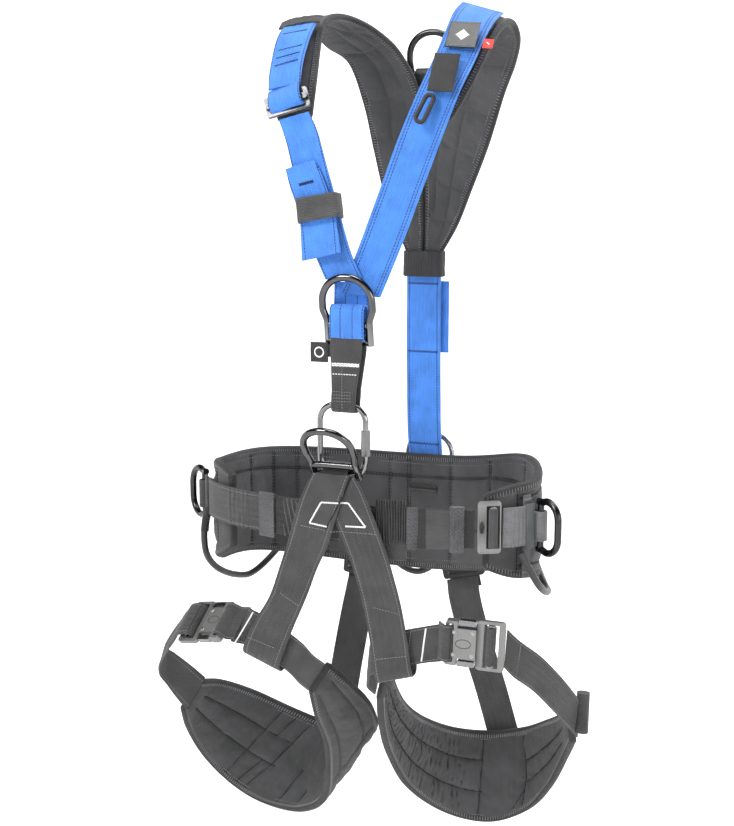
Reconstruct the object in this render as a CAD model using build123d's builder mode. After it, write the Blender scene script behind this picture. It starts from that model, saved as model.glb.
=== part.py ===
from build123d import *
import os
from math import cos, exp, radians, sin

# Full body work-positioning and fall-arrest harness, as it hangs on a standing wearer.
# Frame: +Z up, the wearer faces -Y, +X is the wearer's left.
# The origin is on the wearer's axis at the mid-height of the waist pad at the hips.

# ---- Driving dimensions, in millimetres ----
WEB = 45.0              # width of the load-bearing webbing
WEB_T = 2.4             # thickness of one layer of webbing
PAD_T = 13.0            # thickness of the waist and thigh pads
YOKE_T = 10.0           # thickness of the shoulder pads
RUN = 0.3               # running gap between pieces that move on each other

WAIST_HALF = 197.0      # half the width of the waist pad, at its middle surface
WAIST_BACK = 179.0      # from the widest line of the plan oval to its back
WAIST_FRONT = 86.0      # from the widest line of the plan oval to its front
WAIST_Y = -55.0         # the widest line of the plan oval, along Y
RIGHT_POWER = 0.62      # squares up the oval behind the wearer's right hip
LEFT_POWER = 1.25       # flattens it behind the left hip
WEB_LINE = 11.0         # from the pad's middle surface out to the waist webbing
WEB_Z = 11.0            # height of the waist webbing's centre line

RING_WIRE = 8.0         # wire of the attachment rings
LINK_WIRE = 6.4         # wire of the quick link
CORD = 8.0              # gear loop diameter

os.makedirs("parts", exist_ok=True)


# ---- Helpers ----
def save(piece, name):
    """Label a finished piece and write its STEP file."""
    piece.part.label = name
    export_step(piece.part, f"parts/{name}.step")


def smooth(points, steps):
    """Points of a Catmull-Rom curve through the given points, steps to each span."""
    points = [Vector(point) for point in points]
    ends = [points[0] * 2 - points[1], *points, points[-1] * 2 - points[-2]]
    curve = []
    for before, start, end, after in zip(ends, ends[1:], ends[2:], ends[3:]):
        for step in range(steps):
            u = step / steps
            line = (end - before) * u
            bend = (before * 2 - start * 5 + end * 4 - after) * u**2
            twist = (start * 3 - before - end * 3 + after) * u**3
            curve.append((start * 2 + line + bend + twist) * 0.5)
    return curve + [points[-1]]


def ribbon(stations, thickness, steps=2):
    """A band of cloth: each station is the pair of points at its two edges."""
    first = smooth([station[0] for station in stations], steps)
    second = smooth([station[1] for station in stations], steps)
    middle = [(a + b) * 0.5 for a, b in zip(first, second)]
    last = len(middle) - 1
    with BuildPart() as band:
        for index, centre in enumerate(middle):
            across = second[index] - first[index]
            side = across.normalized()
            ahead = middle[min(index + 1, last)] - middle[max(index - 1, 0)]
            ahead = (ahead - side * ahead.dot(side)).normalized()
            with BuildSketch(Plane(origin=centre, x_dir=side, z_dir=ahead)):
                Rectangle(across.length, thickness)
        loft(ruled=True)
    return band


def tube(points, radii, diameter):
    """A round cord or wire along straight runs joined by tangent arcs."""
    with BuildPart() as cord:
        with BuildLine() as path:
            FilletPolyline(*points, radius=radii)
        with BuildSketch(Plane(origin=path.line @ 0, z_dir=path.line % 0)):
            Circle(diameter / 2)
        sweep()
    return cord


def horseshoe(plane, foot, shoulder, rise, wire, tail=0.0):
    """An attachment ring: a bow that stands along the plane's y from a straight bar."""
    neck = 0.10 * rise
    flare = 0.32 * rise
    crown = min(shoulder - 1.5, 0.93 * (rise - flare))
    bars = [0.0, -tail] if tail else [0.0]
    with BuildPart() as ring:
        with BuildLine(plane) as bow:
            FilletPolyline(
                (-foot, -tail - wire / 2), (-foot, neck), (-shoulder, flare), (-shoulder, rise),
                (shoulder, rise), (shoulder, flare), (foot, neck), (foot, -tail - wire / 2),
                radius=[8, 8, crown, crown, 8, 8],
            )
        with BuildSketch(Plane(origin=bow.line @ 0, z_dir=bow.line % 0)):
            Circle(wire / 2)
        sweep()
        for height in bars:
            with Locations(plane.location * Location((0, height, 0))):
                Cylinder(0.47 * wire, 2 * foot, rotation=(0, 90, 0))
    return ring


def sewn_loop(x, y, low, high, gap, width):
    """Webbing sewn into an upright flat loop, with a clear gap between its two layers."""
    with BuildPart() as loop:
        with BuildSketch(Plane.YZ.offset(x)):
            with Locations((y, (low + high) / 2)):
                SlotCenterToCenter(high - low, gap + 2 * WEB_T, rotation=90)
                SlotCenterToCenter(high - low, gap, rotation=90, mode=Mode.SUBTRACT)
        extrude(amount=width / 2, both=True)
    return loop


def together(*pieces):
    """Several separate solids as one piece."""
    with BuildPart() as group:
        for piece in pieces:
            add(piece.part)
    return group


def waist_plan(angle):
    """Point on the waist oval, with the angle from the middle of the back towards +X."""
    across = sin(radians(angle))
    along = cos(radians(angle))
    if along < 0:
        return Vector(WAIST_HALF * across, WAIST_Y + WAIST_FRONT * along, 0)
    if across > 0:
        return Vector(WAIST_HALF * across**LEFT_POWER, WAIST_Y + WAIST_BACK * along**LEFT_POWER, 0)
    return Vector(-WAIST_HALF * (-across) ** RIGHT_POWER, WAIST_Y + WAIST_BACK * along**RIGHT_POWER, 0)


def waist_normal(angle):
    """Outward direction of the waist oval."""
    tangent = waist_plan(angle + 1.5) - waist_plan(angle - 1.5)
    return Vector(-tangent.Y, tangent.X, 0).normalized()


def waist_point(angle, offset, height):
    """Point at a distance outside the waist oval, at a height."""
    return waist_plan(angle) + waist_normal(angle) * offset + Vector(0, 0, height)


def waist_plane(angle, offset, height):
    """Plane on the waist oval with x along the belt, y up the belt and z outward."""
    outward = waist_normal(angle)
    along = Vector(0, 0, 1).cross(outward)
    return Plane(origin=waist_point(angle, offset, height), x_dir=along, z_dir=outward)


def belt_band(start, stop, offset, height, width, count, thickness=WEB_T):
    """A band of webbing that follows the waist oval between two angles."""
    stations = []
    for index in range(count + 1):
        angle = start + (stop - start) * index / count
        top = waist_point(angle, offset, height + width / 2)
        bottom = waist_point(angle, offset, height - width / 2)
        stations.append((top, bottom))
    return ribbon(stations, thickness, steps=1)


# ---- Waist pad ----
PAD_END = 128.0         # angle at which the pad's front ends stop
PAD_SPANS = 30

pad_stations = []
for index in range(PAD_SPANS + 1):
    angle = PAD_END * (2 * index / PAD_SPANS - 1)
    rear = (1 + cos(radians(angle))) / 2
    nose = max(0.0, abs(angle) - 108) / (PAD_END - 108)
    rise = 24 * exp(-(((angle - 70) / 24) ** 2))
    top = 56 - 20 * rear**2 - 9 * nose**2 + rise
    bottom = -48 - 64 * rear ** (3.2 if angle > 0 else 1.4) + 12 * nose**2
    pad_stations.append((waist_point(angle, 0, top), waist_point(angle, 0, bottom)))
waist_pad = ribbon(pad_stations, PAD_T, steps=1)
save(waist_pad, "waist_pad")

# ---- Waist webbing, its sleeve and its keepers ----
RING_RIGHT = 95.0       # where the wearer's right side ring stands
RING_LEFT = 100.0       # where the left one stands
BAND_STEP = 10.0        # from a side ring to the upright band beside it
BUCKLE_ANGLE = 128.0    # where the waist buckle sits, on the wearer's left
BUCKLE_REACH = 6.2      # half the angle that the buckle takes up

waist_webbing_right = belt_band(-179.5, -RING_RIGHT - 8, WEB_LINE, WEB_Z, WEB, 20)
save(waist_webbing_right, "waist_webbing_right")

inner_webbing = belt_band(179.5, BUCKLE_ANGLE + BUCKLE_REACH, WEB_LINE, WEB_Z, WEB, 12)
pleated_sleeve = belt_band(168, 158.5, WEB_LINE + 3.2, WEB_Z - 3, 68, 4, thickness=2.0)
waist_webbing_left = together(inner_webbing, pleated_sleeve)
save(waist_webbing_left, "waist_webbing_left")

waist_webbing_outer = belt_band(BUCKLE_ANGLE - BUCKLE_REACH, RING_LEFT + 8, WEB_LINE, WEB_Z, WEB, 8)
save(waist_webbing_outer, "waist_webbing_outer")

with BuildPart() as waist_keepers:
    for angle, length in ((-153.0, 13), (140.0, 20)):
        with BuildSketch(waist_plane(angle, WEB_LINE + 1.8, WEB_Z)):
            Rectangle(length, WEB + 7)
        extrude(amount=5)
save(waist_keepers, "waist_keepers")

# ---- Side rings and what holds them ----
RING_Z = 9.0            # height of the side rings' centre

holders = []
for name, angle, out, rise, outward in (
    ("right", -RING_RIGHT, 18, 34, (-0.80, 0.60, 0)),
    ("left", RING_LEFT, 15, 30, (0.80, -0.60, 0)),
):
    bar = waist_point(angle, out, RING_Z)
    ring_plane = Plane(origin=bar, x_dir=(0, 0, -1), z_dir=Vector(0, 0, -1).cross(Vector(outward)))
    side_ring = horseshoe(ring_plane, 27, 29, rise, RING_WIRE)
    save(side_ring, f"side_ring_{name}")

    root = waist_point(angle, PAD_T / 2 + 0.4, RING_Z)
    with BuildPart() as holder:
        with BuildSketch(Plane(origin=bar, x_dir=(bar - root).normalized(), z_dir=(0, 0, 1))):
            Circle(RING_WIRE / 2 + 3.0)
            with Locations(((root - bar).length / -2, 0)):
                Rectangle((root - bar).length, RING_WIRE + 6)
            Circle(RING_WIRE / 2 + 0.5, mode=Mode.SUBTRACT)
        extrude(amount=17, both=True)
    holders.append(holder)
    edge = angle + BAND_STEP if angle > 0 else angle - BAND_STEP
    holders.append(belt_band(edge - 2.5, edge + 2.5, PAD_T / 2 + 1.4, -2, 94, 2, thickness=2.0))
ring_holders = together(*holders)
save(ring_holders, "ring_holders")

# ---- Waist buckle: a plate with a gripping bar ----
buckle = waist_plane(BUCKLE_ANGLE, WEB_LINE + 2.0, WEB_Z + 2)
with BuildPart() as waist_buckle_frame:
    with BuildSketch(buckle):
        RectangleRounded(26, 59, 4)
        with Locations((-8.5, 0)):
            Ellipse(2.8, 7, mode=Mode.SUBTRACT)
        with Locations((4.0, 0)):
            Rectangle(15, 48, mode=Mode.SUBTRACT)
    extrude(amount=1.6, both=True)
save(waist_buckle_frame, "waist_buckle_frame")

with BuildPart() as waist_buckle_bar:
    with BuildSketch(buckle):
        with Locations((4.0, 0)):
            RectangleRounded(8, 46.5, 3)
    extrude(amount=3.2, both=True)
save(waist_buckle_bar, "waist_buckle_bar")

# ---- Gear loops ----
gear_loop_right = tube(
    [
        (-203, -90, -24), (-208, -86, -54), (-207, -62, -84),
        (-203, -14, -108), (-196, 38, -119), (-184, 88, -90),
    ],
    [15, 17, 26, 24], CORD,
)
save(gear_loop_right, "gear_loop_right")

gear_loop_left = tube(
    [(194, -106, -16), (206, -100, -42), (212, -76, -66), (204, -12, -86), (188, 22, -86), (168, 50, -62)],
    [13, 15, 26, 24], CORD,
)
save(gear_loop_left, "gear_loop_left")

gear_loop_rear = tube(
    [(-52, 140, -88), (-48, 145, -112), (-26, 147, -126), (-8, 147, -126), (12, 145, -112), (14, 140, -88)],
    [11, 12, 12, 11], CORD,
)
save(gear_loop_rear, "gear_loop_rear")

# ---- Ventral ring and the bridge of webbing that hangs from it ----
VENTRAL_LOW = Vector(-1, -161, 68)      # centre of the ring's lower bar
VENTRAL_TAIL = 14.0                     # from the lower bar up to the crossbar
VENTRAL_UP = Vector(0, -0.6, 0.8)

ventral_plane = Plane(
    origin=VENTRAL_LOW + VENTRAL_UP * VENTRAL_TAIL, x_dir=(1, 0, 0), z_dir=Vector(1, 0, 0).cross(VENTRAL_UP)
)
ventral_ring = horseshoe(ventral_plane, 26, 28, 54, RING_WIRE, tail=VENTRAL_TAIL)
save(ventral_ring, "ventral_ring")

bridge_loop = sewn_loop(VENTRAL_LOW.X, -155.3, 48, 68, 21.4, 30)
save(bridge_loop, "bridge_top_loop")

bridge_right = ribbon(
    [
        ((-24, -174.5, 70), (19, -174.5, 70)), ((-34, -174.5, 52), (11, -174, 46)),
        ((-45, -172.5, 28), (1, -172, 16)), ((-56, -168.5, -6), (-9, -168.5, -12)),
        ((-69, -165, -42), (-23, -165, -40)), ((-84, -162, -80), (-37, -162, -74)),
        ((-104, -159, -112), (-57, -159, -118)), ((-120, -158, -145), (-74, -157, -161)),
        ((-120, -151, -154), (-74, -150, -171)), ((-117, -143, -146), (-71, -143, -162)),
        ((-111, -143, -126), (-65, -143, -142)),
    ],
    WEB_T,
)
save(bridge_right, "bridge_strap_right")

bridge_left = ribbon(
    [
        ((-21, -170.5, 70), (23, -170.5, 70)), ((-10, -170.5, 46), (34, -170.5, 52)),
        ((0, -168, 16), (46, -168, 24)), ((9, -164, -10), (55, -164, -4)),
        ((17, -162, -34), (63, -162, -30)), ((28, -159, -74), (73, -159, -70)),
        ((36, -157, -118), (80, -157, -108)), ((42, -157, -162), (86, -157, -148)),
        ((43, -150, -169), (87, -150, -155)), ((43, -142, -162), (87, -142, -148)),
        ((40, -142, -134), (84, -142, -122)),
    ],
    WEB_T,
)
save(bridge_left, "bridge_strap_left")

# ---- Quick link ----
LINK_X = 1.0
LINK_Y = -148.0
LINK_TOP = 143.0        # centre of the wire at the top of the link
LINK_LOW = 62.0         # centre of the wire at the bottom
LINK_HALF = 27.0        # half the width between the legs' centres
SLEEVE_Z = 102.0        # centre of the closing sleeve on the left leg
SLEEVE_LEN = 28.0
GATE_Z = 92.0           # centre of the gap in the wire under the sleeve
GATE_HALF = 3.0         # half that gap

link_plane = Plane(origin=(LINK_X, LINK_Y, 0), x_dir=(1, 0, 0), z_dir=(0, -1, 0))
with BuildPart() as quick_link:
    with BuildLine(link_plane) as wire:
        FilletPolyline(
            (LINK_HALF, GATE_Z + GATE_HALF), (LINK_HALF, LINK_TOP), (-LINK_HALF, LINK_TOP),
            (-LINK_HALF, LINK_LOW), (LINK_HALF, LINK_LOW), (LINK_HALF, GATE_Z - GATE_HALF),
            radius=[18, 18, 22, 22],
        )
    with BuildSketch(Plane(origin=wire.line @ 0, z_dir=wire.line % 0)):
        Circle(LINK_WIRE / 2)
    sweep()
save(quick_link, "quick_link")

with BuildPart() as quick_link_sleeve:
    with BuildSketch(Plane.XY.offset(SLEEVE_Z - SLEEVE_LEN / 2)):
        with Locations((LINK_X + LINK_HALF, LINK_Y)):
            RegularPolygon(5.6, 6)
            Circle(LINK_WIRE / 2 + 0.06, mode=Mode.SUBTRACT)
    extrude(amount=SLEEVE_LEN)
save(quick_link_sleeve, "quick_link_sleeve")

# ---- Sternal ring, its sewn blue loop and the link webbing ----
STERNAL = Vector(8, -148, 231)          # centre of the crossbar
STERNAL_TAIL = 18.0                     # from the crossbar down to the lower bar
STERNAL_UP = Vector(0, -0.16, 1).normalized()

sternal_plane = Plane(origin=STERNAL, x_dir=(1, 0, 0), z_dir=Vector(1, 0, 0).cross(STERNAL_UP))
sternal_ring = horseshoe(sternal_plane, 24.5, 29, 53, RING_WIRE, tail=STERNAL_TAIL)
save(sternal_ring, "sternal_ring")

sternal_low = STERNAL - STERNAL_UP * STERNAL_TAIL
straight_loop = sewn_loop(STERNAL.X - 2, -146.5, LINK_TOP, sternal_low.Z, RING_WIRE + 4, 40)
with BuildPart() as link_webbing:
    add(straight_loop.part)
    with BuildSketch(Plane.XZ.offset(-STERNAL.Y - 20)):
        with BuildLine():
            Polyline(
                (-11, 245), (26, 245), (26, 205), (19, 165), (18, 128), (-12, 128), (-10, 165), (-11, 205),
                close=True,
            )
        make_face()
    extrude(amount=40, mode=Mode.INTERSECT)
save(link_webbing, "sternal_link_webbing")

with BuildPart() as sternal_joint:
    with BuildSketch(Plane.XZ.offset(136.5)):
        with Locations((STERNAL.X, 251)):
            RectangleRounded(42, 50, 3)
    extrude(amount=3.6)
save(sternal_joint, "sternal_strap_joint")

with BuildPart() as attachment_tag:
    with BuildSketch(Plane.XZ.offset(-STERNAL.Y + 4)):
        with Locations((-24.5, 201)):
            RectangleRounded(21, 22, 1)
    extrude(amount=1.4)
save(attachment_tag, "attachment_tag")

# ---- Shoulder pads: from the chest over the shoulder to the gather on the back ----
right_pad = ribbon(
    [
        ((-93, -105, 454), (-54, -103, 456)), ((-104, -92, 492), (-56, -85, 496)),
        ((-108, -62, 536), (-64, -54, 536)), ((-110, -32, 556), (-72, -24, 558)),
        ((-112, 4, 566), (-76, 10, 572)), ((-116, 50, 564), (-68, 45, 575)),
        ((-114, 82, 548), (-47, 78, 562)), ((-92, 104, 528), (-26, 106, 536)),
        ((-76, 116, 476), (-7, 121, 490)), ((-65, 122, 421), (-2, 124, 421)),
        ((-50, 124, 362), (-2, 126, 360)), ((-21, 125, 293), (-2, 125, 293)),
    ],
    YOKE_T,
)
save(right_pad, "shoulder_pad_right")

left_pad = ribbon(
    [
        ((67, -103, 470), (108, -98, 452)), ((77, -84, 502), (121, -74, 487)),
        ((85, -62, 531), (131, -46, 524)), ((87, -30, 558), (136, -10, 552)),
        ((86, 4, 572), (139, 24, 560)), ((68, 45, 568), (139, 50, 544)),
        ((40, 85, 545), (127, 75, 519)), ((24, 108, 520), (108, 95, 485)),
        ((7, 121, 478), (86, 108, 427)), ((2, 125, 412), (62, 118, 373)),
        ((2, 126, 347), (43, 124, 330)), ((2, 125, 293), (21, 125, 293)),
    ],
    YOKE_T,
)
save(left_pad, "shoulder_pad_left")

# ---- Blue straps ----
strap_left = ribbon(
    [
        ((85, 3, 582), (130, 15, 569)), ((87, -33, 569), (132, -21, 559)),
        ((88, -68, 543), (132, -60, 538)), ((85, -94, 515), (129, -90, 510)),
        ((75, -115, 480), (120, -113, 477)), ((57, -125, 432), (104, -123, 429)),
        ((38, -133, 376), (86, -131, 376)), ((19, -139, 322), (67, -137, 322)),
        ((6, -142.5, 288), (54, -141.5, 288)), ((-4, -143, 266), (43, -143, 262)),
    ],
    WEB_T,
)
save(strap_left, "shoulder_strap_left")

strap_right_upper = ribbon(
    [
        ((-109, -46, 561), (-73, -38, 566)), ((-107, -76, 541), (-68, -68, 548)),
        ((-104, -102, 506), (-66, -97, 516)), ((-100, -115, 484), (-63, -112, 491)),
    ],
    2 * WEB_T,
)
save(strap_right_upper, "shoulder_strap_right_upper")

strap_lower = ribbon(
    [
        ((-85, -121, 451), (-50, -119, 460)), ((-76, -124, 430), (-38, -122, 438)),
        ((-66, -129, 400), (-25, -128, 403)), ((-50, -135, 349), (-7, -135, 352)),
        ((-34, -143.5, 309), (9, -143.5, 311)), ((-19, -148, 280), (23, -148, 284)),
    ],
    WEB_T,
)
strap_tail = ribbon(
    [
        ((-72, -133.5, 398), (-38, -132.5, 408)), ((-66, -136, 380), (-27, -135, 390)),
        ((-53, -141, 349), (-12, -141, 356)), ((-48, -147, 325), (-4, -148, 332)),
        ((-44, -154, 300), (2, -155, 310)),
    ],
    WEB_T,
)
strap_right_lower = together(strap_lower, strap_tail)
save(strap_right_lower, "shoulder_strap_right_lower")

# ---- Elastic keeper on the folded tail ----
keeper_plane = Plane(origin=(-32, -138, 356), x_dir=(41, 0, 7), z_dir=(-7, 6, 41))
with BuildPart() as strap_keeper:
    with BuildSketch(keeper_plane.offset(-14)):
        RectangleRounded(54, 21, 5)
        RectangleRounded(52, 19, 4, mode=Mode.SUBTRACT)
    extrude(amount=28)
save(strap_keeper, "strap_keeper")

# ---- Shoulder adjuster: a frame with a sliding bar ----
adjuster = Plane(origin=(-76, -118, 470), x_dir=(36, 3, 13), z_dir=(4, -38, 16))
with BuildPart() as shoulder_adjuster_frame:
    with BuildSketch(adjuster):
        RectangleRounded(50, 24, 3)
        Rectangle(41, 15, mode=Mode.SUBTRACT)
    extrude(amount=2.2, both=True)
save(shoulder_adjuster_frame, "shoulder_adjuster_frame")

with BuildPart() as shoulder_adjuster_bar:
    with BuildSketch(adjuster.offset(2.6)):
        RectangleRounded(48, 7, 2)
    extrude(amount=3.4)
save(shoulder_adjuster_bar, "shoulder_adjuster_bar")

# ---- Trim on the left shoulder strap ----
patch_plane = Plane(origin=(111, -74, 537), x_dir=(46, 5, -3), z_dir=(3, -36, 33))
with BuildPart() as shoulder_labels:
    with BuildSketch(patch_plane.offset(3.0)):
        with Locations((0, 3)):
            RectangleRounded(31, 34, 2)
    extrude(amount=1.2)
    with BuildSketch(patch_plane.offset(0)):
        with Locations((29, -8)):
            Rectangle(11, 13)
    extrude(amount=1.0)
save(shoulder_labels, "shoulder_labels")

flap_plane = Plane(origin=(102, -107, 500), x_dir=(46, 4, -3), z_dir=(2, -40, 24))
with BuildPart() as closure_flap:
    with BuildSketch(flap_plane.offset(2.4)):
        RectangleRounded(25, 45, 3)
    extrude(amount=2.2)
save(closure_flap, "closure_flap")

PARK_TOP = Vector(94, -120, 478)
parking_plane = Plane(origin=PARK_TOP, x_dir=(0.9, 0.1, -0.4), z_dir=(0.1, -1, 0.3))
with BuildPart() as parking_loop:
    with BuildSketch(parking_plane.offset(3.4)):
        with Locations((0, -22)):
            SlotCenterToCenter(36, 14, rotation=90)
            SlotCenterToCenter(36, 5.4, rotation=90, mode=Mode.SUBTRACT)
    extrude(amount=2.6)
save(parking_loop, "lanyard_parking_loop")

# ---- Dorsal ring and plate ----
DORSAL = Vector(3, 141, 514)
dorsal_plane = Plane(origin=DORSAL, x_dir=(1, 0, 0), z_dir=(0, -1, 0))
dorsal_ring = horseshoe(dorsal_plane, 27, 29, 50, RING_WIRE)
save(dorsal_ring, "dorsal_ring")

with BuildPart() as dorsal_plate:
    with BuildSketch(Plane.YZ.offset(DORSAL.X)):
        with Locations((DORSAL.Y, DORSAL.Z - 17)):
            SlotCenterToCenter(34, RING_WIRE + 6, rotation=90)
        with Locations((DORSAL.Y, DORSAL.Z)):
            Circle(RING_WIRE / 2 + 0.5, mode=Mode.SUBTRACT)
    extrude(amount=20, both=True)
save(dorsal_plate, "dorsal_plate")

# ---- Back strap ----
GATHER_Z = 281.0
with BuildPart() as gather_band:
    with BuildSketch(Plane.XY.offset(GATHER_Z - 16)):
        with Locations((0, 125)):
            RectangleRounded(52, 20, 6)
            RectangleRounded(48, 15, 4, mode=Mode.SUBTRACT)
    extrude(amount=32)
save(gather_band, "gather_band")

long_strap = ribbon(
    [
        ((-WEB / 2, 125, 291), (WEB / 2, 125, 291)), ((-WEB / 2, 125, 200), (WEB / 2, 125, 200)),
        ((-WEB / 2, 128, 90), (WEB / 2, 128, 90)), ((-WEB / 2, 136, 34), (WEB / 2, 136, 34)),
        ((-WEB / 2, 139, -6), (WEB / 2, 139, -6)),
    ],
    2 * WEB_T,
)
with BuildPart() as strap_tab:
    with BuildSketch(Plane.XZ.offset(-131.5)):
        with Locations((WEB / 2 - 4, 214)):
            RectangleRounded(26, 90, 3)
    extrude(amount=2.0)
with BuildPart() as ring_wrap:
    with BuildSketch(Plane.YZ.offset(1)):
        with Locations((150, 6)):
            SlotCenterToCenter(24, 11.4, rotation=90)
        with Locations((150, 18)):
            Circle(3.5, mode=Mode.SUBTRACT)
    extrude(amount=20, both=True)
back_strap = together(long_strap, strap_tab, ring_wrap)
save(back_strap, "back_strap")

back_ring_plane = Plane(origin=(1, 150, 18), x_dir=(1, 0, 0), z_dir=(0, -1, 0))
back_belt_ring = horseshoe(back_ring_plane, 29, 30, 42, 6.0)
save(back_belt_ring, "back_belt_ring")


# ---- Leg loops ----
def leg_buckle(centre, along, width_dir, name):
    """Two-part metal buckle: body with two release levers, and a plug with a gripping bar."""
    along = Vector(along).normalized()
    normal = along.cross(Vector(width_dir)).normalized()
    if normal.Y > 0:
        normal = normal * -1
    place = Plane(origin=centre, x_dir=along, z_dir=normal)

    with BuildPart() as body:
        with BuildSketch(place):
            with Locations((-13.0, 0)):
                RectangleRounded(34, 51, 3)
            with Locations((-24.0, 0)):
                RectangleRounded(6, 44, 2, mode=Mode.SUBTRACT)
            for edge in (-1, 1):
                with Locations((-6.5, edge * 23.5)):
                    Rectangle(21, 12, mode=Mode.SUBTRACT)
        extrude(amount=5, both=True)
        with BuildSketch(place):
            with Locations((-5.0, 0)):
                Rectangle(26, 30 + 2 * RUN)
        extrude(amount=2 + RUN, both=True, mode=Mode.SUBTRACT)
    save(body, f"leg_buckle_body_{name}")

    up = 1 if place.y_dir.Z > 0 else -1
    for edge, lever_name in ((-up, "lower"), (up, "upper")):
        with BuildPart() as lever:
            with BuildSketch(place):
                with Locations((-6.5, edge * 23.6)):
                    RectangleRounded(19.6, 6.0, 2)
            extrude(amount=3.4, both=True)
        save(lever, f"leg_buckle_lever_{lever_name}_{name}")

    with BuildPart() as plug:
        with BuildSketch(place):
            with Locations((20.0, 0)):
                RectangleRounded(31, 57, 4)
                Rectangle(17, 49.6, mode=Mode.SUBTRACT)
        extrude(amount=2.6, both=True)
        with BuildSketch(place):
            with Locations((-2.0, 0)):
                Rectangle(15, 30)
        extrude(amount=2, both=True)
    save(plug, f"leg_buckle_plug_{name}")

    with BuildPart() as grip:
        with BuildSketch(place):
            with Locations((20.0, 0)):
                RectangleRounded(8, 48.6, 2.5)
        extrude(amount=4, both=True)
    save(grip, f"leg_adjuster_bar_{name}")
    return place


leg_buckle((152, -144, -113), (60, 9, -3), (4, -1, 44), "left")
leg_buckle((-171, -142, -127), (-46, 14, -10), (5, 44, 36), "right")

leg_pad_left = ribbon(
    [
        ((42, -114, -160), (31, -110, -204)), ((38, -80, -200), (24, -86, -248)),
        ((36, -36, -238), (20, -50, -298)), ((44, 14, -273), (28, 0, -360)),
        ((68, 60, -300), (58, 58, -412)), ((107, 88, -309), (107, 86, -428)),
        ((154, 80, -294), (158, 77, -400)), ((190, 50, -268), (195, 45, -350)),
        ((218, 12, -242), (222, 12, -294)), ((232, -24, -220), (238, -22, -260)),
    ],
    PAD_T,
)
save(leg_pad_left, "leg_pad_left")

leg_pad_right = ribbon(
    [
        ((-38, -98, -176), (-61, -98, -213)), ((-18, -78, -204), (-61, -82, -250)),
        ((-8, -44, -239), (-59, -55, -303)), ((-17, 0, -284), (-81, -15, -384)),
        ((-48, 40, -312), (-126, 12, -421)), ((-97, 62, -321), (-185, 28, -427)),
        ((-154, 58, -305), (-229, 26, -408)), ((-200, 36, -279), (-259, 6, -367)),
        ((-230, 2, -257), (-268, -22, -320)), ((-243, -32, -246), (-266, -40, -286)),
    ],
    PAD_T,
)
save(leg_pad_right, "leg_pad_right")

front_left = ribbon(
    [
        ((37, -121, -156), (27, -117, -198)), ((29, -134, -140), (23, -132, -184)),
        ((37, -147, -122), (34, -147, -165)), ((56, -149.5, -112), (54, -149.5, -155)),
        ((74, -149.5, -105), (73, -149.5, -149)), ((98, -149, -98), (95, -149, -141)),
        ((120, -148, -92), (118, -148, -136)),
    ],
    WEB_T,
)
save(front_left, "leg_front_strap_left")

front_right = ribbon(
    [
        ((-40, -107, -172), (-62, -107, -208)), ((-42, -135, -153), (-60, -135, -190)),
        ((-51, -150.8, -133), (-71, -150.8, -169)), ((-90, -150.5, -110), (-113, -150.5, -148)),
        ((-111, -147, -104), (-129, -154, -144)), ((-120.5, -138, -104), (-134.5, -161, -140)),
    ],
    WEB_T,
)
save(front_right, "leg_front_strap_right")

outer_webbing = ribbon(
    [
        ((189, -137, -94), (186, -137, -138)), ((202, -131, -108), (196, -130, -151)),
        ((222, -112, -130), (212, -108, -172)), ((240, -82, -164), (229, -80, -204)),
        ((248, -50, -194), (240, -47, -236)), ((246, -36, -205), (245, -34, -249)),
    ],
    WEB_T,
)
with BuildPart() as rolled_end:
    with BuildSketch(Plane(origin=(255, -38, -240), z_dir=(1, 0, 48))):
        Circle(5)
    extrude(amount=48)
outer_left = together(outer_webbing, rolled_end)
save(outer_left, "leg_outer_strap_left")

outer_right = ribbon(
    [
        ((-214.5, -109, -126), (-218.5, -144, -155)), ((-227, -104, -146), (-239, -122, -181)),
        ((-256, -90, -180), (-266, -86, -223)), ((-268, -66, -206), (-272, -61, -250)),
        ((-257, -48, -232), (-271, -48, -276)),
    ],
    WEB_T,
)
save(outer_right, "leg_outer_strap_right")

# ---- Rear risers from the waist pad to the thigh pads ----
RISER = 42.0
riser_right = ribbon(
    [
        ((-108, 137, -138), (-66, 137, -142)), ((-110, 128, -160), (-68, 128, -164)),
        ((-112, 104, -210), (-70, 104, -214)), ((-116, 84, -272), (-74, 84, -276)),
        ((-120, 76, -318), (-78, 78, -322)),
    ],
    WEB_T,
)
save(riser_right, "rear_riser_right")

riser_left = ribbon(
    [
        ((30, 137, -130), (72, 137, -120)), ((37, 129, -158), (79, 129, -148)),
        ((56, 116, -205), (98, 114, -194)), ((80, 106, -262), (122, 104, -252)),
        ((98, 102, -316), (140, 100, -308)),
    ],
    WEB_T,
)
save(riser_left, "rear_riser_left")

with BuildPart() as riser_buckles:
    for centre, along in (((-87, 140, -124), (42, 0, -4)), ((51, 140, -112), (43, 0, 10))):
        with BuildSketch(Plane(origin=centre, x_dir=along, z_dir=(0, 1, 0))):
            RectangleRounded(RISER + 14, 24, 4)
            Rectangle(RISER + 2, 14, mode=Mode.SUBTRACT)
            Rectangle(RISER + 4, 3.4)
        extrude(amount=3, both=True)
save(riser_buckles, "riser_buckles")
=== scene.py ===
from math import cos, exp, hypot, pi, radians, sin

import bmesh
import bpy
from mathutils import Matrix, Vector, noise
from mathutils.bvhtree import BVHTree


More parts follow.
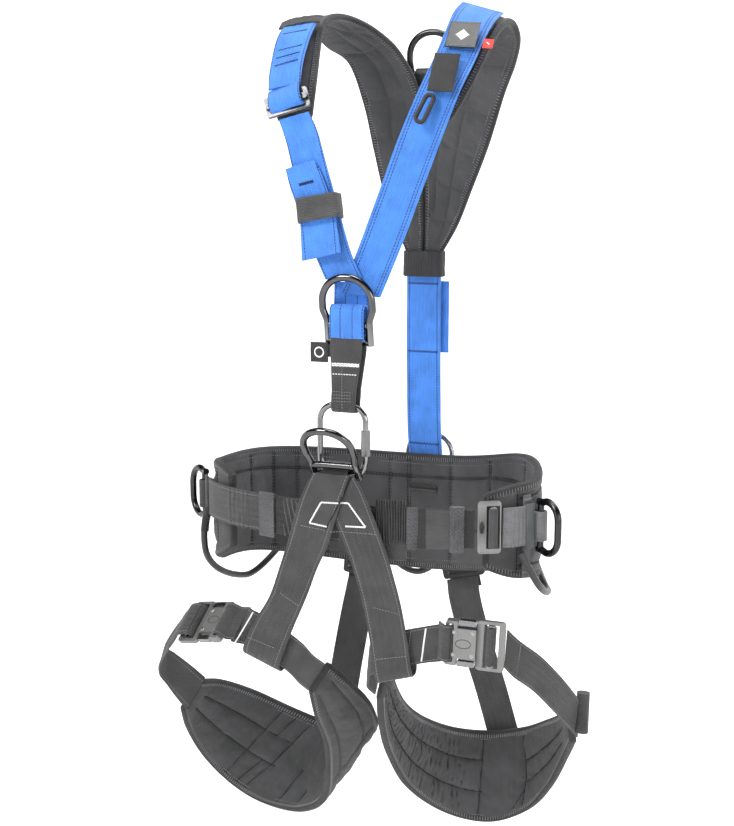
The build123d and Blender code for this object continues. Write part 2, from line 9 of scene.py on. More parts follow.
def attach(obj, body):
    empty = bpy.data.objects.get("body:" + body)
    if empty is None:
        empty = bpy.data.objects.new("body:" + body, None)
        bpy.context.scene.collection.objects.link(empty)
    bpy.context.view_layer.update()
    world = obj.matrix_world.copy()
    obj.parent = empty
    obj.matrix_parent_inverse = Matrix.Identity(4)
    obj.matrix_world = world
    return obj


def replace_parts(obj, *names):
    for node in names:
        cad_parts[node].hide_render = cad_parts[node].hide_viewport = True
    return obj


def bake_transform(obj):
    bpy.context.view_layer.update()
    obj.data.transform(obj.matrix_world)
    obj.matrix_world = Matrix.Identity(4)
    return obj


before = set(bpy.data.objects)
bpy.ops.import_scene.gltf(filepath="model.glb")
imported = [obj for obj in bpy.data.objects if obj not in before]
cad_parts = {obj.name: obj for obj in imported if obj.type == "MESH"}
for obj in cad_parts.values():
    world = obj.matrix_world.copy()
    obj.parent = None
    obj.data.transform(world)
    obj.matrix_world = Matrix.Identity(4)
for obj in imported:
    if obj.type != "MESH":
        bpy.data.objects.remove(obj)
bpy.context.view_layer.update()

# Lengths in this script are millimetres until a mesh is made.
MM = 0.001
# The webbing's width, and the thickness of webbing, waist and thigh pads, shoulder pads and wraps.
WEB = 45.0
WEB_T = 2.4
PAD_T = 13.0
YOKE_T = 10.0
WRAP_T = 2.0
LABEL_T = 1.4
LOOP_DIAMETER = 8.0
# Stitching seen from the front is given in this plane, and dropped onto the cloth from this far before it.
SEEN_Y = -170
RAY_LEAD = 200
FRONT = (0, -1, 0)
BACK = (0, 1, 0)
X_AXIS = Vector((1, 0, 0))
Y_AXIS = Vector((0, 1, 0))
Z_AXIS = Vector((0, 0, 1))

# Each strap and pad is given by stations: pairs of points on its two edges, along its length.
STATIONS = {
    "bridge_right": [
        ((-24, -174.5, 70), (19, -174.5, 70)), ((-34, -174.5, 52), (11, -174, 46)),
        ((-45, -172.5, 28), (1, -172, 16)), ((-56, -168.5, -6), (-9, -168.5, -12)),
        ((-69, -165, -42), (-23, -165, -40)), ((-84, -162, -80), (-37, -162, -74)),
        ((-104, -159, -112), (-57, -159, -118)), ((-120, -158, -145), (-74, -157, -161)),
        ((-120, -151, -154), (-74, -150, -171)), ((-117, -143, -146), (-71, -143, -162)),
        ((-111, -143, -126), (-65, -143, -142)),
    ],
    "bridge_left": [
        ((-21, -170.5, 70), (23, -170.5, 70)), ((-10, -170.5, 46), (34, -170.5, 52)),
        ((0, -168, 16), (46, -168, 24)), ((9, -164, -10), (55, -164, -4)),
        ((17, -162, -34), (63, -162, -30)), ((28, -159, -74), (73, -159, -70)),
        ((36, -157, -118), (80, -157, -108)), ((42, -157, -162), (86, -157, -148)),
        ((43, -150, -169), (87, -150, -155)), ((43, -142, -162), (87, -142, -148)),
        ((40, -142, -134), (84, -142, -122)),
    ],
    "right_pad": [
        ((-93, -105, 454), (-54, -103, 456)), ((-104, -92, 492), (-56, -85, 496)),
        ((-108, -62, 536), (-64, -54, 536)), ((-110, -32, 556), (-72, -24, 558)),
        ((-112, 4, 566), (-76, 10, 572)), ((-116, 50, 564), (-68, 45, 575)),
        ((-114, 82, 548), (-47, 78, 562)), ((-92, 104, 528), (-26, 106, 536)),
        ((-76, 116, 476), (-7, 121, 490)), ((-65, 122, 421), (-2, 124, 421)),
        ((-50, 124, 362), (-2, 126, 360)), ((-21, 125, 293), (-2, 125, 293)),
    ],
    "left_pad": [
        ((67, -103, 470), (108, -98, 452)), ((77, -84, 502), (121, -74, 487)),
        ((85, -62, 531), (131, -46, 524)), ((87, -30, 558), (136, -10, 552)),
        ((86, 4, 572), (139, 24, 560)), ((68, 45, 568), (139, 50, 544)),
        ((40, 85, 545), (127, 75, 519)), ((24, 108, 520), (108, 95, 485)),
        ((7, 121, 478), (86, 108, 427)), ((2, 125, 412), (62, 118, 373)),
        ((2, 126, 347), (43, 124, 330)), ((2, 125, 293), (21, 125, 293)),
    ],
    "strap_left": [
        ((85, 3, 582), (130, 15, 569)), ((87, -33, 569), (132, -21, 559)),
        ((88, -68, 543), (132, -60, 538)), ((85, -94, 515), (129, -90, 510)),
        ((75, -115, 480), (120, -113, 477)), ((57, -125, 432), (104, -123, 429)),
        ((38, -133, 376), (86, -131, 376)), ((19, -139, 322), (67, -137, 322)),
        ((6, -142.5, 288), (54, -141.5, 288)), ((-4, -143, 266), (43, -143, 262)),
    ],
    "strap_right_upper": [
        ((-109, -46, 561), (-73, -38, 566)), ((-107, -76, 541), (-68, -68, 548)),
        ((-104, -102, 506), (-66, -97, 516)), ((-100, -115, 484), (-63, -112, 491)),
    ],
    "strap_lower": [
        ((-85, -121, 451), (-50, -119, 460)), ((-76, -124, 430), (-38, -122, 438)),
        ((-66, -129, 400), (-25, -128, 403)), ((-50, -135, 349), (-7, -135, 352)),
        ((-34, -143.5, 309), (9, -143.5, 311)), ((-19, -148, 280), (23, -148, 284)),
    ],
    "strap_tail": [
        ((-72, -133.5, 398), (-38, -132.5, 408)), ((-66, -136, 380), (-27, -135, 390)),
        ((-53, -141, 349), (-12, -141, 356)), ((-48, -147, 325), (-4, -148, 332)),
        ((-44, -154, 300), (2, -155, 310)),
    ],
    "long_strap": [
        ((-WEB / 2, 125, 291), (WEB / 2, 125, 291)), ((-WEB / 2, 125, 200), (WEB / 2, 125, 200)),
        ((-WEB / 2, 128, 90), (WEB / 2, 128, 90)), ((-WEB / 2, 136, 34), (WEB / 2, 136, 34)),
        ((-WEB / 2, 139, -6), (WEB / 2, 139, -6)),
    ],
    "leg_pad_left": [
        ((42, -114, -160), (31, -110, -204)), ((38, -80, -200), (24, -86, -248)),
        ((36, -36, -238), (20, -50, -298)), ((44, 14, -273), (28, 0, -360)),
        ((68, 60, -300), (58, 58, -412)), ((107, 88, -309), (107, 86, -428)),
        ((154, 80, -294), (158, 77, -400)), ((190, 50, -268), (195, 45, -350)),
        ((218, 12, -242), (222, 12, -294)), ((232, -24, -220), (238, -22, -260)),
    ],
    "leg_pad_right": [
        ((-38, -98, -176), (-61, -98, -213)), ((-18, -78, -204), (-61, -82, -250)),
        ((-8, -44, -239), (-59, -55, -303)), ((-17, 0, -284), (-81, -15, -384)),
        ((-48, 40, -312), (-126, 12, -421)), ((-97, 62, -321), (-185, 28, -427)),
        ((-154, 58, -305), (-229, 26, -408)), ((-200, 36, -279), (-259, 6, -367)),
        ((-230, 2, -257), (-268, -22, -320)), ((-243, -32, -246), (-266, -40, -286)),
    ],
    "front_left": [
        ((37, -121, -156), (27, -117, -198)), ((29, -134, -140), (23, -132, -184)),
        ((37, -147, -122), (34, -147, -165)), ((56, -149.5, -112), (54, -149.5, -155)),
        ((74, -149.5, -105), (73, -149.5, -149)), ((98, -149, -98), (95, -149, -141)),
        ((120, -148, -92), (118, -148, -136)),
    ],
    "front_right": [
        ((-40, -107, -172), (-62, -107, -208)), ((-42, -135, -153), (-60, -135, -190)),
        ((-51, -150.8, -133), (-71, -150.8, -169)), ((-90, -150.5, -110), (-113, -150.5, -148)),
        ((-111, -147, -104), (-129, -154, -144)), ((-120.5, -138, -104), (-134.5, -161, -140)),
    ],
    "outer_webbing": [
        ((189, -137, -94), (186, -137, -138)), ((202, -131, -108), (196, -130, -151)),
        ((222, -112, -130), (212, -108, -172)), ((240, -82, -164), (229, -80, -204)),
        ((248, -50, -194), (240, -47, -236)), ((246, -36, -205), (245, -34, -249)),
    ],
    "outer_right": [
        ((-189.7, -121.5, -112.5), (-193.9, -155.3, -140.3)),
        ((-199.2, -120.3, -114.3), (-203.4, -154.1, -142.1)),
        ((-206, -116.8, -117.5), (-210.2, -150.6, -145.3)),
        ((-214.5, -109, -126), (-218.5, -144, -155)), ((-229, -102, -141), (-240, -125, -178)),
        ((-250, -98, -168), (-268, -92, -208)), ((-268, -76, -190), (-281, -70, -232)),
        ((-266, -56, -205), (-282, -52, -250)), ((-252, -44, -222), (-272, -46, -268)),
        ((-236, -34, -240), (-260, -42, -284)),
    ],
    "riser_right": [
        ((-108, 137, -138), (-66, 137, -142)), ((-110, 128, -160), (-68, 128, -164)),
        ((-112, 104, -210), (-70, 104, -214)), ((-116, 84, -272), (-74, 84, -276)),
        ((-120, 76, -318), (-78, 78, -322)),
    ],
    "riser_left": [
        ((30, 137, -130), (72, 137, -120)), ((37, 129, -158), (79, 129, -148)),
        ((56, 116, -205), (98, 114, -194)), ((80, 106, -262), (122, 104, -252)),
        ((98, 102, -316), (140, 100, -308)),
    ],
}


# ---- Materials ----
def shade(colour, amount):
    """A darker or lighter shade of a colour."""
    return tuple(min(1.0, c * amount) for c in colour)


class Shader:
    """A node material with short names for the few nodes that the materials here need."""

    def __init__(self, name, metallic=0.0, roughness=0.6, **sockets):
        self.material = bpy.data.materials.new(name)
        self.material.use_nodes = True
        self.tree = self.material.node_tree
        self.surface = self.tree.nodes["Principled BSDF"]
        self.surface.inputs["Metallic"].default_value = metallic
        self.surface.inputs["Roughness"].default_value = roughness
        for socket, value in sockets.items():
            self.surface.inputs[socket.replace("_", " ")].default_value = value

    def node(self, kind, **settings):
        made = self.tree.nodes.new("ShaderNode" + kind)
        for key, value in settings.items():
            setattr(made, key, value)
        return made

    def join(self, output, socket):
        self.tree.links.new(output, socket)

    def put(self, value, socket):
        """Feeds a socket from another node's output, or sets it to a constant."""
        if isinstance(value, bpy.types.NodeSocket):
            self.join(value, socket)
        else:
            socket.default_value = value

    def math(self, operation, first, second=0.0, third=0.0):
        made = self.node("Math", operation=operation)
        for value, socket in zip((first, second, third), made.inputs):
            self.put(value, socket)
        return made.outputs[0]

    def times(self, first, second):
        return self.math("MULTIPLY", first, second)

    def wave(self, value, pitch):
        """A sine wave of the given pitch in millimetres."""
        return self.math("SINE", self.times(value, 2 * pi / pitch))

    def blend(self, factor, first, second):
        made = self.node("Mix", data_type="RGBA")
        self.put(factor, made.inputs[0])
        for value, socket in ((first, made.inputs[6]), (second, made.inputs[7])):
            if isinstance(value, tuple):
                value = (*value, 1.0)
            self.put(value, socket)
        return made.outputs[2]

    def ramp(self, value, low, high, start=0.0, end=1.0):
        """Maps low..high onto start..end, and clamps outside it."""
        made = self.node("MapRange", clamp=True)
        for number, socket in zip((value, low, high, start, end), made.inputs):
            self.put(number, socket)
        return made.outputs[0]

    def noise(self, scale, detail=3.0, stretch=(1.0, 1.0, 1.0)):
        place = self.node("TexCoord").outputs["Object"]
        mapping = self.node("Mapping")
        mapping.inputs["Scale"].default_value = stretch
        self.join(place, mapping.inputs["Vector"])
        made = self.node("TexNoise")
        made.inputs["Scale"].default_value = scale
        made.inputs["Detail"].default_value = detail
        self.join(mapping.outputs[0], made.inputs["Vector"])
        return made.outputs["Fac"]

    def mottled(self, colour, dark, light, scale, detail=3.0, spread=0.2):
        """Uneven colour between a dark and a light shade of one dye."""
        spots = self.ramp(self.noise(scale, detail), 0.5 - spread, 0.5 + spread)
        return self.blend(spots, shade(colour, dark), shade(colour, light))

    def cloth_place(self):
        """Millimetres across and along a piece of cloth."""
        split = self.node("SeparateXYZ")
        self.join(self.node("UVMap", uv_map="cloth").outputs[0], split.inputs[0])
        return self.times(split.outputs[0], 1000.0), self.times(split.outputs[1], 1000.0)

    def finish(self, colour, height=None, roughness=None):
        self.join(colour, self.surface.inputs["Base Color"])
        if roughness is not None:
            self.join(roughness, self.surface.inputs["Roughness"])
        if height is not None:
            bump = self.node("Bump")
            bump.inputs["Strength"].default_value = 1.0
            bump.inputs["Distance"].default_value = MM
            self.join(height, bump.inputs["Height"])
            self.join(bump.outputs[0], self.surface.inputs["Normal"])
        return self.material


def woven(name, colour, light=1.5, pitch=2.4, depth=0.34, lines=(), thread=(0.8, 0.8, 0.8), herring=4.0):
    """Webbing: a herringbone weave, uneven dye, and dashed stitching at the given places across."""
    s = Shader(name, roughness=0.78, Sheen_Weight=0.12, Sheen_Roughness=0.5)
    across, along = s.cloth_place()
    zigzag = s.math("PINGPONG", across, herring)
    rows = s.wave(s.math("ADD", along, zigzag), pitch)
    cords = s.wave(across, pitch * 0.9)
    weave = s.math("ADD", s.times(rows, 0.6), s.times(cords, 0.4))
    height = s.times(weave, depth)
    dye = s.mottled(colour, 0.72, light, 38.0, 4.0)
    dye = s.blend(s.ramp(weave, -0.9, 0.9, 0.0, 0.6), dye, shade(colour, 0.42))
    streaks = s.node("TexNoise")
    streaks.inputs["Scale"].default_value = 1.0
    streaks.inputs["Detail"].default_value = 3.0
    place = s.node("CombineXYZ")
    s.join(s.times(across, 0.55), place.inputs[0])
    s.join(s.times(along, 0.05), place.inputs[1])
    s.join(place.outputs[0], streaks.inputs["Vector"])
    dye = s.blend(s.ramp(streaks.outputs["Fac"], 0.35, 0.7, 0.0, 0.4), dye, shade(colour, light))
    if lines:
        near = None
        for offset in lines:
            away = s.math("ABSOLUTE", s.math("SUBTRACT", across, offset))
            near = away if near is None else s.math("MINIMUM", near, away)
        on_line = s.math("LESS_THAN", near, 0.55)
        on_dash = s.math("LESS_THAN", s.math("FRACT", s.math("DIVIDE", along, 3.6)), 0.74)
        stitch = s.times(on_line, on_dash)
        dye = s.blend(stitch, dye, thread)
        sunk = s.ramp(near, 0.0, 1.8, -0.35, 0.0)
        height = s.math("ADD", s.math("ADD", height, sunk), s.times(stitch, 0.5))
    height = s.math("ADD", height, s.times(s.noise(120.0), 0.25))
    return s.finish(dye, height, s.ramp(weave, -1.0, 1.0, 0.9, 0.68))


def mesh_cloth(name, colour):
    """Pad cover: a spacer mesh of small staggered cells, with painted shade in their hollows."""
    cell, depth = 2.2, 0.35
    s = Shader(name, roughness=0.74, Sheen_Weight=0.12, Sheen_Roughness=0.45)
    across, along = s.cloth_place()
    first = s.wave(s.math("ADD", across, along), cell)
    second = s.wave(s.math("SUBTRACT", across, along), cell)
    cells = s.times(first, second)
    dye = s.mottled(colour, 0.75, 1.5, 22.0, 5.0, 0.25)
    # Painted shade: the colour darkens where the cells sink, as the height is -cells.
    dye = s.blend(s.ramp(cells, 0.2, 0.9, 0.0, 0.45), dye, shade(colour, 0.5))
    height = s.math("ADD", s.times(cells, -depth), s.times(s.noise(70.0, 4.0), 0.5))
    return s.finish(dye, height, s.ramp(cells, -1.0, 1.0, 0.56, 0.8))


def ribbed(name, colour, pitch=2.2, across_too=False):
    """Elastic or binding tape: fine ribs that run across the tape, with painted shade in the grooves between
    them.
    """
    s = Shader(name, roughness=0.8, Sheen_Weight=0.1)
    across, along = s.cloth_place()
    ribs = s.wave(across if across_too else along, pitch)
    dye = s.mottled(colour, 0.7, 1.4, 45.0)
    # Painted shade: the colour darkens in the grooves, where the ribs are lowest.
    dye = s.blend(s.ramp(ribs, -1.0, 0.2, 0.4, 0.0), dye, shade(colour, 0.4))
    return s.finish(dye, s.math("ADD", s.times(ribs, 0.3), s.times(s.noise(150.0), 0.2)))


def metal(name, colour, smooth=0.16, rough=0.34, wear=0.2):
    """Forged and polished metal with fine scratches and slightly worn edges."""
    s = Shader(name, metallic=1.0)
    fine = s.noise(900.0, 2.0, (1.0, 1.0, 0.08))
    broad = s.noise(35.0, 5.0)
    dye = s.blend(s.ramp(broad, 0.3, 0.7), shade(colour, 0.86), shade(colour, 1.08))
    edge = s.ramp(s.node("NewGeometry").outputs["Pointiness"], 0.52, 0.6, 0.0, wear)
    dye = s.blend(edge, dye, (0.85, 0.85, 0.84))
    height = s.math("ADD", s.times(fine, 0.015), s.times(broad, 0.05))
    return s.finish(dye, height, s.ramp(s.times(s.math("ADD", fine, broad), 0.5), 0.35, 0.65, smooth, rough))


def moulded(name, colour, roughness=0.8, grain=0.15):
    """Moulded plastic, thread or a printed patch, with a fine grain."""
    s = Shader(name, Coat_Weight=0.0)
    fine = s.noise(650.0, 2.0)
    dye = s.mottled(colour, 0.8, 1.25, 30.0, 4.0)
    return s.finish(dye, s.times(fine, grain), s.ramp(fine, 0.3, 0.7, roughness - 0.08, roughness + 0.1))


def sewn_blue(name, *lines):
    return woven(name, BLUE, light=1.25, lines=lines, thread=(0.012, 0.03, 0.16))


BLUE = (0.055, 0.235, 0.76)
GREY = (0.038, 0.038, 0.0395)
WHITE = (0.82, 0.82, 0.80)

blue_web = sewn_blue("webbing_blue", -18.5, 18.5)
blue_four = sewn_blue("webbing_blue_four_rows", -18.5, -7.0, 7.0, 18.5)
blue_pairs = sewn_blue("webbing_blue_pairs", -19.6, -16.2, 16.2, 19.6)
blue_plain = woven("webbing_blue_plain", BLUE, light=1.25)
dark_web = woven("webbing_dark", GREY)
dark_sewn = woven("webbing_dark_sewn", GREY, lines=(-19.0, 19.0), thread=(0.13, 0.13, 0.135))
# Black webbing. Where it is laid as black strips in the gaps between layers of waist webbing and inside the
# waist pad's slot, it is painted shadow.
black_web_and_shadow = woven("webbing_black_and_shadow", (0.016, 0.016, 0.017))
dark_plain = woven("webbing_dark_plain", (0.05, 0.05, 0.052), pitch=1.8, depth=0.2)
# Grey webbing made lighter than the rest: its lighter grey is painted sheen, on the waist webbing's tail and
# the left ring holder.
satin_painted_sheen_web = woven("webbing_satin_painted_sheen", (0.15, 0.15, 0.155), light=1.6, pitch=2.0, depth=0.25)
roll_web = woven("webbing_roll", (0.058, 0.058, 0.061), light=1.7, pitch=4.6, depth=0.6, herring=4.5)
keeper_web = woven("webbing_keeper", (0.068, 0.068, 0.071), pitch=3.4, depth=0.4)
flap_cloth = woven("flap_cloth", (0.018, 0.018, 0.019), light=1.4, pitch=1.4, depth=0.12)
pad_mesh = mesh_cloth("pad_mesh", (0.046, 0.046, 0.0485))
binding_tape = ribbed("binding_tape", (0.02, 0.02, 0.0215), pitch=1.4)
elastic = ribbed("elastic_tape", (0.085, 0.088, 0.092))
elastic_mid = ribbed("elastic_mid", (0.06, 0.06, 0.062), across_too=True)
elastic_dark = ribbed("elastic_dark", (0.022, 0.022, 0.024))
steel_satin = metal("steel_satin", (0.30, 0.30, 0.31), smooth=0.22, rough=0.4, wear=0.15)
steel_link = metal("steel_link", (0.26, 0.26, 0.265), smooth=0.08, rough=0.2)
steel_dark = metal("steel_dark", (0.10, 0.10, 0.103), smooth=0.08, rough=0.2, wear=0.25)
alloy_dark = metal("alloy_dark", (0.05, 0.05, 0.052), smooth=0.18)
alloy_buckle = metal("alloy_buckle", (0.036, 0.037, 0.034), smooth=0.46, rough=0.66, wear=0.25)
alloy_black = metal("alloy_black", (0.022, 0.022, 0.024), smooth=0.3, rough=0.5, wear=0.12)
thread_black = moulded("thread_black", (0.008, 0.008, 0.009), roughness=0.85)
thread_dark = moulded("thread_dark", (0.012, 0.018, 0.06), roughness=0.85)
thread_grey = moulded("thread_grey", (0.17, 0.17, 0.175))
thread_white = moulded("thread_white", WHITE)
print_white = moulded("print_white", WHITE, roughness=0.6, grain=0.06)
patch_black = moulded("patch_black", (0.01, 0.01, 0.011), roughness=0.42, grain=0.06)
plastic_black = moulded("plastic_black", (0.012, 0.012, 0.013), roughness=0.5, grain=0.06)
tab_red = moulded("tab_red", (0.55, 0.03, 0.02), roughness=0.7, grain=0.06)
leather = moulded("leather", (0.016, 0.012, 0.011), roughness=0.5, grain=0.2)
cord_sheath = moulded("cord_sheath", (0.02, 0.02, 0.021), roughness=0.42, grain=0.12)


# ---- Building pieces ----
class Row:
    """One cross-section of a strap or pad: its centre, its three directions and half its width."""

    def __init__(self, centre, side, out, half, along):
        self.centre, self.side, self.out, self.half, self.along = centre, side, out, half, along

    def flipped(self, flip=-1):
        """The same row for the other face of a pad."""
        return Row(self.centre, self.side, self.out * flip, self.half, self.along)


def each(value, count):
    """A list as it is, or one value repeated."""
    return value if isinstance(value, list) else [value] * count


def rows_on(points, sides, outs, halves):
    """Rows at the points of a path. sides and halves may be one value or a list of them."""
    sides, halves = each(sides, len(points)), each(halves, len(points))
    rows, along = [], 0.0
    for index, point in enumerate(points):
        along += (point - points[index - 1]).length if index else 0.0
        rows.append(Row(point, sides[index], outs[index], halves[index], along))
    return rows


def straight_rows(start, step, count, side, out, half):
    """Rows along a straight line, a step apart."""
    return [Row(start + step * k, side, out, half, step.length * k) for k in range(count)]


def outward(points, sides, toward):
    """Directions square to a path and to its sides, towards toward(point)."""
    sides = each(sides, len(points))
    outs = []
    for index, point in enumerate(points):
        ahead = (points[min(index + 1, len(points) - 1)] - points[max(index - 1, 0)]).normalized()
        out = ahead.cross(sides[index]).normalized()
        outs.append(-out if out.dot(toward(point)) < 0 else out)
    return outs


def axes(x_dir, z_dir):
    """Three square directions: the first is given, and the last is as near z_dir as it can be."""
    x, z = Vector(x_dir).normalized(), Vector(z_dir).normalized()
    z = (z - x * z.dot(x)).normalized()
    return x, z.cross(x), z


def circle_points(centre, x_dir, y_dir, angles, x_radius, y_radius=None):
    """Points of an ellipse about a centre, at angles in degrees."""
    tall = x_radius if y_radius is None else y_radius
    return [
        centre + x_dir * (x_radius * cos(radians(a))) + y_dir * (tall * sin(radians(a))) for a in angles
    ]


def through(points, index, u):
    """Point of a Catmull-Rom curve, at u of the span after points[index]."""
    last = len(points) - 1
    start, end = points[index], points[index + 1]
    before = points[index - 1] if index > 0 else start * 2 - end
    after = points[index + 2] if index + 2 <= last else end * 2 - start
    line = (end - before) * u
    bend = (before * 2 - start * 5 + end * 4 - after) * u**2
    twist = (start * 3 - before - end * 3 + after) * u**3
    return (start * 2 + line + bend + twist) * 0.5


def rows_through(stations, face, step=4.0):
    """Cross-sections about step apart, their outer side towards face at the first one."""
    left = [Vector(station[0]) for station in stations]
    right = [Vector(station[1]) for station in stations]
    edges = []
    for index in range(len(left) - 1):
        run = (left[index + 1] + right[index + 1] - left[index] - right[index]).length / 2
        count = max(1, round(run / step))
        edges += [(through(left, index, k / count), through(right, index, k / count)) for k in range(count)]
    edges.append((left[-1], right[-1]))
    centres = [(a + b) / 2 for a, b in edges]
    rows = []
    along = 0.0
    sign = 0
    for index, (a, b) in enumerate(edges):
        ahead = centres[min(index + 1, len(edges) - 1)] - centres[max(index - 1, 0)]
        side = (b - a).normalized()
        out = side.cross(ahead - side * ahead.dot(side)).normalized()
        if sign == 0:
            sign = 1 if out.dot(Vector(face)) >= 0 else -1
        if index:
            along += (centres[index] - centres[index - 1]).length
        rows.append(Row(centres[index], side, out * sign, (b - a).length / 2, along))
    return rows


def skin(name, rings, places, material, body, closed=False, sharp=35.0):
    """A mesh from rings of points in millimetres, with each point's place on the cloth."""
    count = len(rings[0])
    faces = []
    spans = len(rings) if closed else len(rings) - 1
    for r in range(spans):
        here, there = r * count, (r + 1) % len(rings) * count
        for k in range(count):
            n = (k + 1) % count
            faces.append((here + k, here + n, there + n, there + k))
    if not closed:
        faces.append(tuple(range(count - 1, -1, -1)))
        faces.append(tuple((len(rings) - 1) * count + k for k in range(count)))
    mesh = bpy.data.meshes.new(name)
    mesh.from_pydata([tuple(p * MM) for ring in rings for p in ring], [], faces)
    flat = [uv for ring in places for uv in ring]
    layer = mesh.uv_layers.new(name="cloth")
    for loop in mesh.loops:
        layer.data[loop.index].uv = flat[loop.vertex_index]
    mesh.validate()
    return add_piece(name, mesh, material, body, sharp)


def add_piece(name, mesh, material, body, sharp=35.0):
    """Turns a mesh into a shaded piece that rides on a body."""
    bm = bmesh.new()
    bm.from_mesh(mesh)
    bmesh.ops.recalc_face_normals(bm, faces=bm.faces)
    for face in bm.faces:
        face.smooth = True
    for edge in bm.edges:
        if len(edge.link_faces) == 2 and edge.calc_face_angle(0.0) > radians(sharp):
            edge.smooth = False
    bm.to_mesh(mesh)
    bm.free()
    piece = bpy.data.objects.new(name, mesh)
    bpy.context.scene.collection.objects.link(piece)
    mesh.materials.append(material)
    if body:
        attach(piece, body)
    return piece


def outline(count, lip):
    """Places round a strap's section: s across from -1 to 1, h from -1 inside to 1 outside."""
    top = [-1 + lip + (2 - 2 * lip) * k / count for k in range(count + 1)]
    ring = [(-1.0, 0.0), (-1.0 + lip / 3, 0.75)] + [(s, 1.0) for s in top]
    ring += [(1.0 - lip / 3, 0.75), (1.0, 0.0), (1.0 - lip / 3, -0.75)]
    return ring + [(s, -1.0) for s in reversed(top)] + [(-1.0 + lip / 3, -0.75)]


def band(name, rows, thickness, material, body="harness", relief=None, count=12, lip=0.05, closed=False):
    """Webbing along rows. relief(s, h, row) gives extra height, in millimetres, for each point."""
    rings, places = [], []
    for row in rows:
        ring, place = [], []
        for s, h in outline(count, lip):
            lift = h * thickness / 2 + (relief(s, h, row) if relief else 0.0)
            ring.append(row.centre + row.side * (s * row.half) + row.out * lift)
            place.append((s * row.half * MM, row.along * MM))
        rings.append(ring)
        places.append(place)
    return skin(name, rings, places, material, body, closed)


def slack(height=0.5, scale=0.02, fine=0.0):
    """Slow unevenness of a strap, with finer waves of part of its height."""

    def relief(s, h, row):
        place = (row.centre + row.side * (s * row.half)) * scale
        return noise.noise(place) * height + noise.noise(place * 2.7) * height * fine

    return relief


def cloth_relief(height, scale=0.02):
    return slack(height, scale, 0.4)


def near_seams(seams, s, row, total):
    """Distance in millimetres from a place on a pad to its nearest seam."""
    best = 1e9
    x, y = s * row.half, row.along
    for seam in seams:
        for (s0, t0), (s1, t1) in zip(seam, seam[1:]):
            ax, ay, bx, by = s0 * row.half, t0 * total, s1 * row.half, t1 * total
            dx, dy = bx - ax, by - ay
            length = dx * dx + dy * dy or 1.0
            u = max(0.0, min(1.0, ((x - ax) * dx + (y - ay) * dy) / length))
            best = min(best, hypot(x - ax - dx * u, y - ay - dy * u))
    return best


# A pad thins over this length at each end, and its cover ripples at this scale.
END_SLOPE = 14
RIPPLE_SCALE = 0.028


def pad(name, rows, thickness, seams, back_seams, edge, groove, wrinkle, extra=None):
    """A padded piece: thin at its bound edges, crowned between them, and pulled in along its seams.
    extra(s, h, row, total) adds creases of its own."""
    total = rows[-1].along

    def swell(s, h, row):
        if h == 0.0:
            return 0.0
        end = min(row.along, total - row.along)
        crown = (1 - abs(s) ** 5) * (1 - max(0.0, 1 - end / END_SLOPE) ** 2)
        lines = seams if h > 0 else back_seams
        pull = 0.0
        if lines:
            away = near_seams(lines, s, row, total)
            stitched = 0.8 / (1 + (away / 1.8) ** 2)
            drawn_in = 0.55 / (1 + (away / 8.0) ** 2)
            pull = groove * (stitched + drawn_in)
        spot = (row.centre + row.side * (s * row.half)) * RIPPLE_SCALE
        ripple = noise.noise(spot * 2.2) * wrinkle + noise.noise(spot * 5.0) * wrinkle * 0.45
        crease = extra(s, h, row, total) if extra else 0.0
        lift = -thickness / 2 * (1 - edge) * (1 - crown) - pull * crown + (ripple + crease) * crown
        return lift * (1 if h > 0 else -1)

    across = max(12, round(2 * max(row.half for row in rows) / 2.6))
    piece = band(name, rows, thickness, pad_mesh, "harness", swell, across)
    return piece


def bead(name, path, outs, width, depth, material, body="harness", closed=False, corner=2.6, count=14):
    """A tape or cord of rounded section swept along a path, its depth along outs."""
    rings, places = [], []
    total = 0.0
    for index, point in enumerate(path):
        before = path[index - 1] if index or closed else point
        after = path[(index + 1) % len(path)] if index + 1 < len(path) or closed else point
        ahead = (after - before).normalized()
        out = (outs[index] - ahead * outs[index].dot(ahead)).normalized()
        side = ahead.cross(out)
        if index:
            total += (point - path[index - 1]).length
        ring, place = [], []
        for k in range(count):
            angle = 2 * pi * k / count
            c, d = cos(angle), sin(angle)
            x = abs(c) ** (2 / corner) * (1 if c >= 0 else -1) * width / 2
            y = abs(d) ** (2 / corner) * (1 if d >= 0 else -1) * depth / 2
            ring.append(point + side * x + out * y)
            place.append((x * MM, total * MM))
        rings.append(ring)
        places.append(place)
    return skin(name, rings, places, material, body, closed)


def bindings(name, rows, depth, width):
    """Tape folded over the edges of a pad, all the way round."""
    last, first = rows[-1], rows[0]
    inset = width * 0.32
    lead = [row.centre - row.side * (row.half - inset) for row in rows]
    trail = [row.centre + row.side * (row.half - inset) for row in reversed(rows)]
    across_last = [last.centre + last.side * (last.half * k / 4) for k in range(-3, 4)]
    across_first = [first.centre - first.side * (first.half * k / 4) for k in range(-3, 4)]
    outs = [row.out for row in rows]
    path = lead + across_last + trail + across_first
    outs = outs + [last.out] * 7 + outs[::-1] + [first.out] * 7
    bead(name, path, outs, width, depth, binding_tape, closed=True)


# A stitch's shape: how far along it, and how wide and how high it is there.
STITCH_SHAPE = ((0, 0.4, -0.2), (0.2, 1, 0.8), (0.8, 1, 0.8), (1, 0.4, -0.2))
DASH_SHARE = 0.72
SEAM_STEP = 3.0


